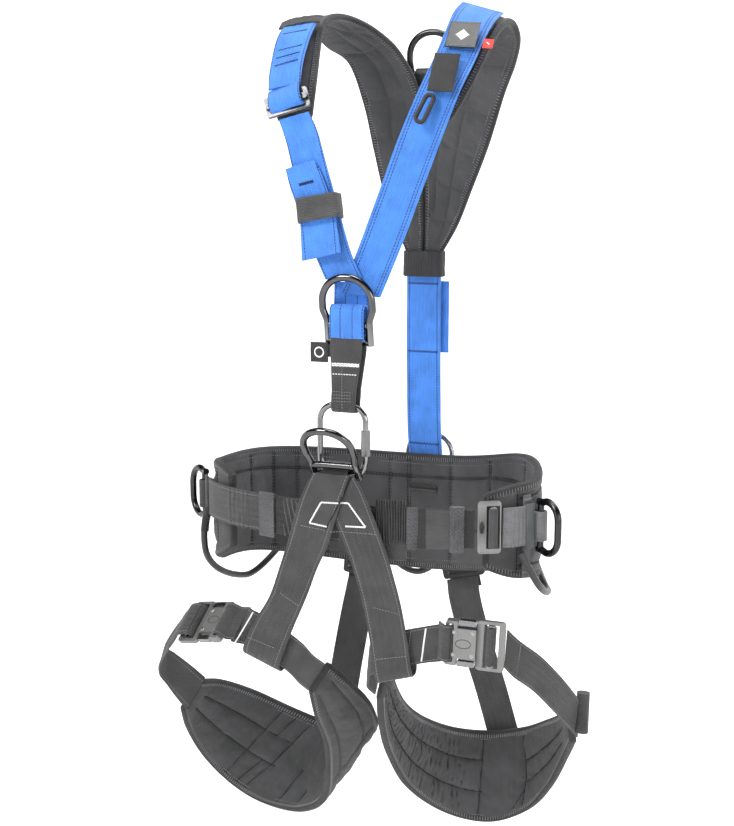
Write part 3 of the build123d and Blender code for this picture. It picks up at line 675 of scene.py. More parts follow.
class Thread:
    """Collects stitches, small raised dashes, and makes one piece of them."""

    def __init__(self, name, material, width=0.8, body="harness"):
        self.name, self.material, self.width, self.body = name, material, width, body
        self.verts, self.faces = [], []

    def stitch(self, start, end, out, rise=0.45):
        ahead = end - start
        if ahead.length < 0.05:
            return
        side = ahead.cross(out).normalized() * (self.width / 2)
        base = len(self.verts)
        for u, w, h in STITCH_SHAPE:
            spot = start + ahead * u
            self.verts += [spot - side * w - out * 0.3, spot - side * w * 0.7 + out * rise * h]
            self.verts += [spot + side * w * 0.7 + out * rise * h, spot + side * w - out * 0.3]
        for k in range(3):
            a, b = base + 4 * k, base + 4 * k + 4
            self.faces += [(a + i, a + i + 1, b + i + 1, b + i) for i in range(3)]
            self.faces.append((a + 3, a, b, b + 3))
        self.faces += [(base + 3, base + 2, base + 1, base), (base + 12, base + 13, base + 14, base + 15)]

    def run(self, points, outs, pitch=4.4):
        """Dashes of equal pitch along a line of points."""
        travelled, next_start = 0.0, 0.0
        start = None
        for index in range(len(points) - 1):
            a, b = points[index], points[index + 1]
            length = (b - a).length
            while length > 0:
                target = next_start if start is None else next_start + pitch * DASH_SHARE
                if target > travelled + length:
                    break
                spot = a + (b - a) * ((target - travelled) / length)
                if start is None:
                    start = spot
                else:
                    self.stitch(start, spot, outs[index])
                    start = None
                    next_start += pitch
            travelled += length

    def zigzag(self, points, outs, reach=1.6):
        """A zigzag, as on a bar tack or an overlocked edge: reach is half its width."""
        for index in range(len(points) - 1):
            side = (points[index + 1] - points[index]).cross(outs[index]).normalized() * reach
            swing = side if index % 2 else side * -1
            self.stitch(points[index] + swing, points[index + 1] - swing, outs[index])

    def across(self, rows, t, lift, reach, span, count):
        """A zigzag across a strap at t along it, from -count / span to count / span of its half width."""
        places = [on_rows(rows, k / span, t, lift) for k in range(-count, count + 1)]
        self.zigzag([p for p, _ in places], [o for _, o in places], reach)

    def ticks(self, rows, outer, inner, lift, pitch=3.4):
        """Short stitches over both edges of a pad; outer and inner are distances from the edge."""
        due = pitch
        for before, row in zip(rows, rows[1:]):
            while due <= row.along:
                u = (due - before.along) / max(1e-6, row.along - before.along)
                centre, half = before.centre.lerp(row.centre, u), before.half + (row.half - before.half) * u
                for edge in (-1, 1):
                    far = centre + row.side * (edge * (half - outer)) + row.out * lift
                    near = centre + row.side * (edge * (half - inner)) + row.out * lift
                    self.stitch(far, near, row.out, 0.5)
                due += pitch

    def make(self):
        mesh = bpy.data.meshes.new(self.name)
        mesh.from_pydata([tuple(v * MM) for v in self.verts], [], self.faces)
        mesh.uv_layers.new(name="cloth")
        return add_piece(self.name, mesh, self.material, self.body, sharp=60.0)


def on_rows(rows, s, t, lift):
    """Point on a strap or pad at s across and t along, lifted, and the outward direction there."""
    total = rows[-1].along
    target = max(0.0, min(1.0, t)) * total
    for index in range(len(rows) - 1):
        if rows[index + 1].along >= target - 1e-6:
            break
    a, b = rows[index], rows[index + 1]
    u = (target - a.along) / max(1e-6, b.along - a.along)
    centre = a.centre.lerp(b.centre, u)
    side = a.side.lerp(b.side, u).normalized()
    out = a.out.lerp(b.out, u).normalized()
    half = a.half + (b.half - a.half) * u
    return centre + side * (s * half) + out * lift, out


def seam_line(thread, rows, seam, lift, pitch=4.4):
    """Stitches along a seam given as (s, t) places."""
    total = rows[-1].along
    points, outs = [], []
    for (s0, t0), (s1, t1) in zip(seam, seam[1:]):
        run = hypot((s1 - s0) * rows[0].half, (t1 - t0) * total)
        count = max(1, round(run / SEAM_STEP))
        for k in range(count + 1):
            u = k / count
            point, out = on_rows(rows, s0 + (s1 - s0) * u, t0 + (t1 - t0) * u, lift)
            points.append(point)
            outs.append(out)
    thread.run(points, outs, pitch)


def onto(points, targets, direction, step=1.5, lift=0.3):
    """Points dropped onto the targets along a direction, close together, with the surface's outward side."""
    trees = []
    for target in targets:
        coords = [v.co for v in target.data.vertices]
        trees.append(BVHTree.FromPolygons(coords, [p.vertices for p in target.data.polygons]))
    ray = Vector(direction).normalized()
    found, outs = [], []
    for a, b in zip(points, points[1:]):
        a, b = Vector(a), Vector(b)
        count = max(1, round((b - a).length / step))
        for k in range(count + 1):
            origin = a.lerp(b, k / count) - ray * RAY_LEAD
            hits = [tree.ray_cast(origin * MM, ray) for tree in trees]
            hits = [hit for hit in hits if hit[0] is not None]
            if hits:
                place, normal, _, _ = min(hits, key=lambda hit: hit[3])
                if normal.dot(ray) > 0:
                    normal = -normal
                found.append(place / MM + normal * lift)
                outs.append(normal)
    return found, outs


def seen(x0, z0, x1, z1, targets, step, lift=0.2, y=SEEN_Y):
    """Points of a straight line that is seen from the front, dropped onto the targets."""
    return onto([(x0, y, z0), (x1, y, z1)], targets, BACK, step, lift)


def restyle(material, *nodes):
    """Gives carried-over CAD nodes their finished material."""
    for node in nodes:
        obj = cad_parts[node]
        obj.data.materials.clear()
        obj.data.materials.append(material)


# ---- Camera, floor and light ----
CAMERA_AT = (0.595, -1.5946, 0.4017)
CAMERA_AIM = (-0.0282, 0.0, 0.1087)
CAMERA_LENS = 62.94
LAMP_AIM = (0, 0, 0.05)
FLOOR_Z = -0.462
FLOOR_RADIUS = 4.2
WALL_ROUND = 0.8
WALL_TOP = 1.5
TURNS = 72


def placed(name, data, place, aim):
    """An object in the scene at a place, which looks at another place."""
    made = bpy.data.objects.new(name, data)
    bpy.context.scene.collection.objects.link(made)
    made.location = place
    made.rotation_euler = (Vector(aim) - Vector(place)).to_track_quat("-Z", "Y").to_euler()
    return made


def make_stage():
    camera_data = bpy.data.cameras.new("camera")
    camera_data.sensor_width = 36.0
    camera_data.sensor_fit = "AUTO"
    camera_data.lens = CAMERA_LENS
    bpy.context.scene.camera = placed("camera", camera_data, CAMERA_AT, CAMERA_AIM)

    paper = Shader("studio_paper", roughness=0.9)
    paper.surface.inputs["Emission Color"].default_value = (1.0, 1.0, 1.0, 1.0)
    away = paper.node("VectorMath", operation="LENGTH")
    paper.join(paper.node("TexCoord").outputs["Object"], away.inputs[0])
    glow = paper.ramp(away.outputs["Value"], 0.7, 2.6, 0.45, 0.72)
    paper.join(glow, paper.surface.inputs["Emission Strength"])
    bowl = paper.finish(paper.blend(paper.noise(3.0), (0.90, 0.90, 0.90), (0.93, 0.93, 0.93)))
    profile = [(0.5, FLOOR_Z), (FLOOR_RADIUS, FLOOR_Z)]
    for a in range(10, 91, 10):
        rise = WALL_ROUND * (1 - cos(radians(a)))
        profile.append((FLOOR_RADIUS + WALL_ROUND * sin(radians(a)), FLOOR_Z + rise))
    profile.append((FLOOR_RADIUS + WALL_ROUND, WALL_TOP))
    round_angles = [2 * pi * k / TURNS for k in range(TURNS)]
    verts = [(r * cos(a), r * sin(a), z) for r, z in profile for a in round_angles]
    faces = [tuple(range(TURNS))]
    for ring in range(len(profile) - 1):
        for k in range(TURNS):
            a, b = ring * TURNS + k, ring * TURNS + (k + 1) % TURNS
            faces.append((a, a + TURNS, b + TURNS, b))
    mesh = bpy.data.meshes.new("studio_bowl")
    mesh.from_pydata(verts, [], faces)
    floor = bpy.data.objects.new("studio_bowl", mesh)
    bpy.context.scene.collection.objects.link(floor)
    mesh.materials.append(bowl)
    for face in mesh.polygons:
        face.use_smooth = True

    world = bpy.data.worlds.new("studio")
    world.use_nodes = True
    world.node_tree.nodes["Background"].inputs["Color"].default_value = (0.5, 0.5, 0.5, 1.0)
    world.node_tree.nodes["Background"].inputs["Strength"].default_value = 0.16
    bpy.context.scene.world = world
    bpy.context.scene.view_settings.view_transform = "Standard"

    for name, place, size, power in (
        ("key", (-1.0, -1.7, 2.0), 0.9, 62.0),
        ("fill", (2.1, -1.0, 0.6), 0.8, 13.0),
        ("top", (0.1, 0.1, 2.2), 1.1, 34.0),
        ("rim", (0.9, 1.5, 1.3), 0.9, 26.0),
    ):
        lamp_data = bpy.data.lights.new(name, "AREA")
        lamp_data.shape = "SQUARE"
        lamp_data.size = size
        lamp_data.energy = power
        lamp = placed(name, lamp_data, place, LAMP_AIM)


make_stage()


# ---- The waist oval, as in the CAD source ----
WAIST_HALF = 197.0
WAIST_BACK = 179.0
WAIST_FRONT = 86.0
WAIST_Y = -55.0
PAD_END = 128.0
LEFT_ROUND = 1.25
RIGHT_ROUND = 0.62
BELT_Z = 11
RING_Z = 9
BAND_HALF_ANGLE = 2.4


def waist_plan(angle):
    """A point of the belt line seen from above; 0 degrees is the back, and left is positive."""
    across, along = sin(radians(angle)), cos(radians(angle))
    if along < 0:
        return Vector((WAIST_HALF * across, WAIST_Y + WAIST_FRONT * along, 0))
    if across > 0:
        return Vector((WAIST_HALF * across**LEFT_ROUND, WAIST_Y + WAIST_BACK * along**LEFT_ROUND, 0))
    return Vector((-WAIST_HALF * (-across) ** RIGHT_ROUND, WAIST_Y + WAIST_BACK * along**RIGHT_ROUND, 0))


def waist_out(angle):
    """The outward direction, square to the belt line."""
    tangent = waist_plan(angle + 1.5) - waist_plan(angle - 1.5)
    return Vector((-tangent.y, tangent.x, 0)).normalized()


def waist_point(angle, offset, height):
    """A point outside the belt line at a height."""
    return waist_plan(angle) + waist_out(angle) * offset + Vector((0, 0, height))


def belt_rows(start, stop, offset, limits, step):
    """Rows round the waist between two angles. limits(angle) gives the top and bottom edges' heights."""
    count = max(2, round(abs(stop - start) / step))
    rows, along = [], 0.0
    for index in range(count + 1):
        angle = start + (stop - start) * index / count
        top, bottom = limits(angle)
        centre = waist_point(angle, offset, (top + bottom) / 2)
        if rows:
            run = centre - rows[-1].centre
            along += hypot(run.x, run.y)
        row = Row(centre, Vector((0, 0, -1)), waist_out(angle), (top - bottom) / 2, along)
        row.angle = angle
        rows.append(row)
    return rows


def level(width, height=BELT_Z):
    """Edges of a level band, for belt_rows."""
    return lambda angle: (height + width / 2, height - width / 2)


def pad_limits(angle):
    """Heights of the waist pad's edges: deeper at the back, higher on the left, tapered at the ends."""
    rear = (1 + cos(radians(angle))) / 2
    nose = max(0.0, abs(angle) - 108) / (PAD_END - 108)
    top = 56 - 20 * rear**2 - 9 * nose**2 + 22 * exp(-(((angle - 62) / 30) ** 2))
    return top, -48 - 64 * rear ** (3.2 if angle > 0 else 1.4) + 12 * nose**2


def part_way(rows, angle):
    """How far along the rows an angle lies, from 0 to 1."""
    row = min(rows, key=lambda row: abs(row.angle - angle))
    return row.along / rows[-1].along


def belt(name, start, stop, offset, width, step, thickness, material, relief=None, count=12, height=BELT_Z):
    """A level band round part of the waist."""
    rows = belt_rows(start, stop, offset, level(width, height), step)
    return band(name, rows, thickness, material, relief=relief, count=count)


# ---- Waist pad ----
def upright_seams(angles, reach):
    """Seams across the waist pad at the given angles."""
    return [[(-reach, part_way(waist_rows, a)), (reach, part_way(waist_rows, a))] for a in angles]


waist_rows = belt_rows(-PAD_END, PAD_END, 0.0, pad_limits, 0.75)
inner_seams = upright_seams((-118, -96, -78, -62, -46, -30, -4.7, -0.9, 18, 38, 62, 84, 102, 118), 0.92)
low_seam = [(-0.62, part_way(waist_rows, a)) for a in (-118, -78, -30, 18, 38)]
inner_seams += [low_seam + [(-0.5, part_way(waist_rows, 62))], [(0.3, 0.08), (0.3, 0.92)]]
outer_seams = upright_seams((-112, -80, -50, -20, 20, 50, 80, 112), 0.9)
outer_seams += [[(-0.72, 0.05), (-0.72, 0.95)], [(0.72, 0.05), (0.72, 0.95)]]
waist_pad = pad(
    "waist_pad_soft", waist_rows, PAD_T, outer_seams, inner_seams, edge=0.5, groove=3.4, wrinkle=1.1
)
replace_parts(waist_pad, "waist_pad")
bindings("waist_pad_binding", waist_rows, PAD_T * 0.5 + 2.6, 9.0)

SEAM_LIFT = 3.4
TICK_LIFT = 4.75
EDGE_LIFT = 4.4
seam_threads = Thread("waist_pad_stitching", thread_grey)
dark_threads = Thread("waist_pad_seams", thread_black, 1.0)
for seam in inner_seams:
    upright = abs(seam[0][1] - seam[-1][1]) < 0.01
    for apart in (-0.02, 0.02):
        moved = [(s, t + apart * 0.14) if upright else (s + apart, t) for s, t in seam]
        seam_line(dark_threads, [row.flipped() for row in waist_rows], moved, SEAM_LIFT)
for seam in outer_seams:
    seam_line(dark_threads, waist_rows, seam, SEAM_LIFT)
for flip in (1, -1):
    face_rows = [row.flipped(flip) for row in waist_rows]
    seam_threads.ticks(face_rows, 1.6, 6.4, TICK_LIFT)
    for s in (-0.85, 0.85):
        seam_line(seam_threads, face_rows, [(s, 0.02), (s, 0.5), (s, 0.98)], EDGE_LIFT, 3.6)
seam_threads.make()
dark_threads.make()


# ---- Slot in the waist pad's lining ----
slot_angles = (-1.0, 1.4, 3.8, 6.2, 8.6, 11.0)
slot_outs = [-waist_out(a) for a in slot_angles]
# The slot is a black strip: painted shade inside the opening, with a lip of pad cover below it.
for name, height, wide, deep, material in (
    ("slot", -3.0, 5.0, 1.6, black_web_and_shadow), ("lip", -7.6, 3.0, 2.4, pad_mesh),
):
    path = [waist_point(a, -7.4, height) for a in slot_angles]
    bead(f"waist_pad_{name}", path, slot_outs, wide, deep, material, corner=3.0, count=12)


# ---- Waist webbing and its fittings ----
def hump(value, middle, spread):
    return exp(-(((value - middle) / spread) ** 2))


def right_relief(s, h, row):
    """Ridges of slack beside the bridge."""
    ridges = 0.0
    if h > 0 and -143 < row.angle < -131:
        bend = noise.noise(Vector((row.along * 0.08, s * 1.2, 5.0))) * 1.6
        ridges = 1.3 * abs(sin(row.along * 0.42 + bend)) ** 2
    return ridges + noise.noise(row.centre * 0.03 + row.side * s) * 0.7


def slanted(s, h, row):
    """Folds that lean towards the bridge."""
    return (abs(((row.along + s * 5.0) / 6.0) % 1.0 - 0.5) * 2 - 0.5) * 3.0 if h > 0 else 0.0


def sleeve_relief(s, h, row):
    """Fine upright pleats over the sleeve's upper part."""
    if h <= 0:
        return 0.0
    bend = noise.noise(Vector((row.along * 0.06, s * 1.6, 3.0))) * 2.6
    wave = sin(row.along * 2.15 + bend) * 1.5 + sin(row.along * 0.9 + s * 2.0) * 0.4
    return wave * max(0.0, min(1.0, 1.0 - (s - 0.25) * 4.0))


def folded_relief(s, h, row):
    """Webbing folded towards the pad: a soft hump, a crease and a step."""
    if h <= 0:
        return 0.0
    fold = 1.6 * hump(row.angle, 156.6, 1.3) - 1.4 * hump(row.angle, 154.4, 0.6)
    return fold + noise.noise(row.centre * 0.05 + row.side * s) * 0.6


def ridged(s, h, row):
    """Upright ridges of slack webbing beside the buckle."""
    if h <= 0:
        return 0.0
    return 1.3 * sin(row.along * 0.62 + 0.6) ** 2 + noise.noise(row.centre * 0.05 + row.side * s) * 0.6


piece = belt("waist_webbing_right_soft", -179.5, -103, 11, WEB, 1.0, WEB_T, dark_sewn, right_relief)
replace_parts(piece, "waist_webbing_right")
# A black strip set back in the gap between the pleats and the keeper: painted shadow.
belt("waist_webbing_right_gap_shadow", -160.4, -156.6, 14.0, WEB - 2, 0.6, 1.6, black_web_and_shadow, slack(0.5, 0.05))
belt("waist_webbing_right_pleats", -170, -160, 15.4, WEB - 1, 0.3, 1.8, dark_plain, slanted, 20)
piece = belt("waist_webbing_left_soft", 179.5, 134.2, 11, WEB, 1.0, WEB_T, dark_sewn, slack(0.8, 0.03))
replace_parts(piece, "waist_webbing_left")
belt("pleated_sleeve", 168, 157.8, 14.4, 68, 0.13, 2.2, dark_web, sleeve_relief, 30, 8)
belt("waist_webbing_left_fold", 157.9, 154.2, 15.0, WEB + 3, 0.35, 2.6, roll_web, folded_relief)
# A black strip set back in the slit between the fold and the doubled webbing: painted shadow.
belt("waist_webbing_left_slit_shadow", 154.4, 151.4, 13.9, WEB + 1, 0.35, 2.0, black_web_and_shadow, slack(0.7, 0.08))
belt("waist_webbing_left_doubling", 151.5, 143.3, 14.6, WEB - 1, 0.7, 2.4, dark_plain, slack(0.5, 0.06))
# A black strip set back in the gap between the roll and the buckle: painted shadow.
belt("waist_webbing_left_gap_shadow", 138.2, 134.0, 12.4, WEB - 2, 0.6, 2.0, black_web_and_shadow, slack(0.6, 0.06))
# The webbing's tail past the buckle is the lighter grey copy: painted sheen.
piece = belt("waist_webbing_outer_soft", 121.8, 108, 11, WEB, 0.8, WEB_T, satin_painted_sheen_web, ridged)
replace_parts(piece, "waist_webbing_outer")
keeper = belt("waist_keeper_right", -156.2, -149.8, 15.4, 52, 0.5, 4.2, keeper_web)
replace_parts(keeper, "waist_keepers")


def upright_roll(name, angle, offset, height, width, along, depth, material, body="harness"):
    """A short roll of webbing that stands across the belt."""
    path = [waist_point(angle, offset, height + width * (k / 8 - 0.5)) for k in range(9)]
    bead(name, path, [waist_out(angle)] * 9, along, depth, material, body, corner=2.3, count=20)


upright_roll("waist_webbing_roll_outer", 140.7, 14.6, 11, 51, 16, 9.0, roll_web)
upright_roll("waist_webbing_roll_bar", 126.4, 14.2, 12, 43, 10.0, 10.5, dark_plain, "waist_buckle_bar")
restyle(alloy_buckle, "waist_buckle_frame")
restyle(alloy_dark, "waist_buckle_bar")

# ---- Side rings and their holders ----
HOLDER_RADIUS = 6.1
for name, angle, out, edge, ends, tacks, webbing in (
    ("right", -95.0, 18.0, -105.0, (32, -14), (28, -10), dark_web),
    ("left", 100.0, 15.0, 107.5, (45, -49), (40, 34, -36, -42), satin_painted_sheen_web),
# The left holder's webbing is the lighter grey copy, its lighter grey painted sheen; the right one's is the
# plain dark webbing.
):
    bar, root = waist_point(angle, out, RING_Z), waist_point(angle, 6.0, RING_Z)
    ahead = (bar - root).normalized()
    side = ahead.cross(Z_AXIS)
    route = circle_points(bar, ahead, side, range(-90, 91, 15), HOLDER_RADIUS)
    route = [root - side * HOLDER_RADIUS] + route + [root + side * HOLDER_RADIUS]
    outs = outward(route, Z_AXIS, lambda point: point - bar)
    wrap = band(f"side_ring_wrap_{name}", rows_on(route, -Z_AXIS, outs, 17.0), WEB_T, webbing, count=8)
    if name == "right":
        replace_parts(wrap, "ring_holders")
    for tag, offset, heights, thick in (("", 8.4, ends, 2.6), ("_over", 14.2, (36, -15), 2.0)):
        start, stop = edge - BAND_HALF_ANGLE, edge + BAND_HALF_ANGLE
        tape = belt_rows(start, stop, offset, lambda a: heights, 0.6)
        band(f"side_ring_band_{name}{tag}", tape, thick, elastic, count=24)
    bar_tack = Thread(f"side_ring_band_stitching_{name}", thread_grey)
    for height in tacks:
        line = [waist_point(edge + k * 0.45 - 2.2, 10.2, height) for k in range(11)]
        bar_tack.zigzag(line, [waist_out(edge)] * 11, 1.4)
    bar_tack.make()
    restyle(alloy_dark, f"side_ring_{name}")


def spline_points(points):
    """Points of the smooth NURBS curve whose control points are given."""
    curve = bpy.data.curves.new("route", "CURVE")
    curve.dimensions = "3D"
    curve.resolution_u = 8
    spline = curve.splines.new("NURBS")
    spline.points.add(len(points) - 1)
    for control, point in zip(spline.points, points):
        control.co = (*point, 1.0)
    spline.order_u = 3
    spline.use_endpoint_u = True
    holder = bpy.data.objects.new("route", curve)
    bpy.context.scene.collection.objects.link(holder)
    mesh = bpy.data.meshes.new_from_object(holder)
    line = [v.co.copy() for v in mesh.vertices]
    bpy.data.objects.remove(holder)
    bpy.data.curves.remove(curve)
    bpy.data.meshes.remove(mesh)
    return line


def tube(name, points, diameter, material, body):
    """A stiff cord along the smooth curve of its control points."""
    line = spline_points(points)
    outs, way = [], Vector((0.3, 0.2, 0.93))
    for index in range(len(line)):
        ahead = (line[min(index + 1, len(line) - 1)] - line[max(index - 1, 0)]).normalized()
        way = (way - ahead * way.dot(ahead)).normalized()
        outs.append(way)
    return bead(name, line, outs, diameter, diameter, material, body, corner=2.0, count=16)


# ---- Gear loops ----
for name, points in (
    ("gear_loop_right", [
        (-203, -90, -24), (-208, -86, -54), (-207, -62, -84), (-203, -14, -108), (-196, 38, -119),
        (-184, 88, -90),
    ]),
    ("gear_loop_left", [
        (194, -106, -16), (206, -100, -42), (212, -76, -66), (204, -12, -86), (188, 22, -86), (168, 50, -62),
    ]),
    ("gear_loop_rear", [
        (-52, 140, -88), (-48, 145, -112), (-26, 147, -126), (-8, 147, -126), (12, 145, -112), (14, 140, -88),
    ]),
):
    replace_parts(tube(f"{name}_soft", points, LOOP_DIAMETER, cord_sheath, name), name)
anchor = [Vector(p) for p in ((-203, -90, -32), (-202.5, -88, -20), (-201, -85, -8), (-199, -81, 2))]
bead("gear_loop_right_anchor", anchor, [Vector((-1, -0.4, 0)).normalized()] * 4, 12, 9.5, elastic_dark)


# ---- Bridge of webbing under the ventral ring ----
def stadium_rows(x_at, half_at, y, low, high, radius):
    """Rows round an upright flat loop of webbing that starts and ends at the middle of its back."""
    middle = (low + high) / 2
    turn = [radians(a) for a in range(15, 180, 15)]
    path = [(radius, middle + (low - middle) * k / 8) for k in range(9)]
    path += [(radius * cos(a), low - radius * sin(a)) for a in turn]
    path += [(-radius, low + (high - low) * k / 16) for k in range(17)]
    path += [(-radius * cos(a), high + radius * sin(a)) for a in turn]
    path += [(radius, high + (middle - high) * k / 8) for k in range(9)]
    points = [Vector((x_at(z), y + dy, z)) for dy, z in path]
    outs = outward(points, X_AXIS, lambda p: p - Vector((p.x, y, min(high, max(low, p.z)))))
    return rows_on(points, X_AXIS, outs, [half_at(z) for _, z in path])


def flat_loop(x, half, y, low, high, radius):
    """A loop like stadium_rows, straight and of one width."""
    return stadium_rows(lambda z: x, lambda z: half, y, low, high, radius)


def bridge_relief(s, h, row):
    """Slow waves, and a slight cup under the ring."""
    place = (row.centre + row.side * (s * row.half)) * 0.018
    cup = 1.1 * s * s * max(0.0, 1 - row.along / 70)
    return noise.noise(place) + noise.noise(place * 3.1) * 0.35 - cup


bridge_pieces = []
for name in ("right", "left"):
    rows = rows_through(STATIONS[f"bridge_{name}"], FRONT, 3.0)
    piece = band(f"bridge_strap_{name}_soft", rows, WEB_T, dark_sewn, relief=bridge_relief, count=16)
    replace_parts(piece, f"bridge_strap_{name}")
    bridge_pieces.append(piece)
piece = band("bridge_top_loop_soft", flat_loop(-1.0, 15.0, -155.3, 48, 68, 11.9), WEB_T, dark_web)
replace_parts(piece, "bridge_top_loop")

white = Thread("bridge_white_stitching", thread_white, 2.1)
for line in ([(-29, 13), (-14, 38), (17, 39), (36, 13), (12, 12)], [(-29, 13), (-8, 10.5)]):
    for start, end in zip(line, line[1:]):
        points, outs = seen(*start, *end, bridge_pieces, 2.6)
        for index in range(len(points) - 1):
            white.stitch(points[index], points[index + 1], outs[index], 0.55)
white.make()
seam = Thread("bridge_centre_seam", thread_black, 1.7)
points, outs = onto([(21, SEEN_Y, 69), (7.6, SEEN_Y, 39), (-10, SEEN_Y, 7)], bridge_pieces, BACK, 2.0, 0.15)
seam.zigzag(points, outs, 0.2)
seam.make()
dots = Thread("bridge_cross_stitching", thread_grey, 1.0)
for line in (
    (-40, 9, -8, 6), (-5, 5, 52, 6), (-70, -74, -46, -88), (42, -80, 73, -84), (-112, -133, -78, -142),
    (44, -140, 80, -132),
):
    dots.run(*seen(*line, bridge_pieces, 1.6), 3.4)
dots.make()
restyle(steel_dark, "ventral_ring", "sternal_ring")
restyle(steel_link, "quick_link")
restyle(alloy_dark, "quick_link_sleeve", "dorsal_ring")


# ---- Sternal ring and the webbing under it ----
def link_x(z):
    return 3.0 + 4.5 * min(1.0, max(0.0, (z - 130) / 72))


def link_half(z):
    return 14.4 + 4.2 * min(1.0, max(0.0, (z - 160) / 45))


def link_relief(s, h, row):
    """Pleats where the link's webbing is gathered, and slow waves."""
    fold = sin((row.centre.z - 128) * 0.9) * max(0.0, 1 - abs(row.centre.z - 150) / 12)
    return (fold * 0.45 + noise.noise(row.centre * 0.06 + row.side * s) * 0.6) * (1 if h > 0 else 0.4)


LINK_Y = -160
link_rows = stadium_rows(link_x, link_half, -146.5, 143, 213, 7.2)
piece = band("sternal_link_webbing_soft", link_rows, WEB_T, dark_sewn, relief=link_relief)
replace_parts(piece, "sternal_link_webbing")
white = Thread("sternal_link_stitching", thread_white, 1.3)
for z in (189.5, 187.5):
    points, outs = seen(-9, z, 24, z, [piece], 1.0, y=LINK_Y)
    white.zigzag(points[::2], outs[::2], 0.9)
white.run(*seen(-8, 178, 23, 178, [piece], 1.2, y=LINK_Y), 3.2)
white.make()
rows_of_grey = Thread("sternal_link_cross_stitching", thread_grey, 0.9)
for z in (148, 151.5, 155, 158.5):
    rows_of_grey.run(*seen(-7, z, 15, z, [piece], 1.0, y=LINK_Y), 3.0)
rows_of_grey.run(*seen(3, 140, 3, 188, [piece], 1.0, y=LINK_Y), 3.4)
rows_of_grey.make()

JOINT_STEP = 3.2
patch_rows = []
for k in range(17):
    middle = Vector((8, -138.4 + 0.25 * abs(k - 8), 277 - JOINT_STEP * k))
    patch_rows.append(Row(middle, X_AXIS, -Y_AXIS, 21.0, JOINT_STEP * k))
piece = band("sternal_strap_joint_soft", patch_rows, 3.4, blue_four, relief=slack(0.7, 0.05))
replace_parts(piece, "sternal_strap_joint")
joint_rows = flat_loop(8.0, 20.0, -146.8, 221, 246, 7.0)
band("sternal_blue_wrap", joint_rows, 2.2, blue_four, relief=slack(0.5, 0.05))

tag_rows = []
for k in range(12):
    curl = noise.noise(Vector((k * 0.3, 0, 0))) * 0.5
    tag_rows.append(Row(Vector((-24.5, -152.7 + curl, 212 - 2 * k)), X_AXIS, -Y_AXIS, 10.5, 2.0 * k))
piece = band("attachment_tag_soft", tag_rows, LABEL_T, patch_black)
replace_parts(piece, "attachment_tag")
circle = circle_points(Vector((-24.5, -153.5, 201)), X_AXIS, Z_AXIS, range(0, 360, 15), 5.2)
bead("attachment_tag_mark", circle, [-Y_AXIS] * 24, 1.5, 0.5, print_white, closed=True, corner=2.0, count=8)
strip = [Vector((-15 + 1.5 * k, -152.0, 203 + 0.1 * k)) for k in range(7)]
bead("attachment_tag_strip", strip, [-Y_AXIS] * 7, 14, 1.2, black_web_and_shadow)


# ---- Shoulder straps ----
def soft_strap(name, key, material, nodes=(), thickness=WEB_T, relief=None, face=FRONT):
    """A strap along its stations, in place of its CAD nodes."""
    rows = rows_through(STATIONS[key], face)
    piece = band(name, rows, thickness, material, relief=relief or cloth_relief(0.8), count=14)
    if nodes:
        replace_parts(piece, *nodes)
    return rows, piece


soft_strap("shoulder_strap_left_soft", "strap_left", blue_pairs, ["shoulder_strap_left"])
upper_rows, _ = soft_strap(
    "shoulder_strap_right_upper_soft", "strap_right_upper", blue_web, ["shoulder_strap_right_upper"], 3.4,
    face=(0, -1, 0.6),
)
soft_strap("shoulder_strap_right_lower_soft", "strap_lower", blue_web, ["shoulder_strap_right_lower"])
tail_rows, _ = soft_strap("shoulder_strap_tail", "strap_tail", blue_web, relief=cloth_relief(1.4, 0.03))
tack = Thread("shoulder_strap_tail_stitching", thread_dark, 1.0)
for t in (0.2, 0.215):
    tack.across(tail_rows, t, 1.8, 0.8, 14, 6)
for t in (0.28, 0.52, 0.62, 0.72):
    tack.across(upper_rows, t, 2.4, 0.7, 10, 7)
tack.make()


# ---- Elastic keeper and gather band ----
def sleeve_rows_of(origin, x_dir, z_dir, width, depth, radius, half):
    """Rows once round a flattened tube, for a closed band."""
    origin, x_dir, z_dir = Vector(origin), Vector(x_dir).normalized(), Vector(z_dir).normalized()
    x_dir = (x_dir - z_dir * x_dir.dot(z_dir)).normalized()
    y_dir = z_dir.cross(x_dir)
    points, outs = [], []
    for cx, cy, start in ((1, 1, 0), (-1, 1, 90), (-1, -1, 180), (1, -1, 270)):
        for k in range(7):
            a = radians(start + 15 * k)
            x = cx * (width / 2 - radius) + cos(a) * radius
            y = cy * (depth / 2 - radius) + sin(a) * radius
            point = origin + x_dir * x + y_dir * y
            if points and (point - points[-1]).length > 6:
                last = points[-1]
                points += [last.lerp(point, j / 8) for j in range(1, 8)]
                outs += [y_dir * (1 if y > 0 else -1)] * 7
            points.append(point)
            outs.append(x_dir * cos(a) + y_dir * sin(a))
    return rows_on(points, z_dir, outs, half)


def closed_band(name, rows, thickness, material, body, relief):
    return band(name, rows, thickness, material, body, relief, 10, 0.06, True)


keeper_rows = sleeve_rows_of((-29.5, -138.5, 356), (41, 0, 7), (-7, 6, 41), 48, 20, 5, 13.5)
keeper_relief = cloth_relief(0.5, 0.06)
piece = closed_band("strap_keeper_soft", keeper_rows, 1.8, elastic_mid, "strap_keeper", keeper_relief)
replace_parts(piece, "strap_keeper")
gather_rows = sleeve_rows_of((0, 125, 281), (1, 0, 0), (0, 0, 1), 50, 18, 6, 16)
piece = closed_band("gather_band_soft", gather_rows, 2.4, elastic_dark, "harness", cloth_relief(0.9, 0.05))
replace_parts(piece, "gather_band")

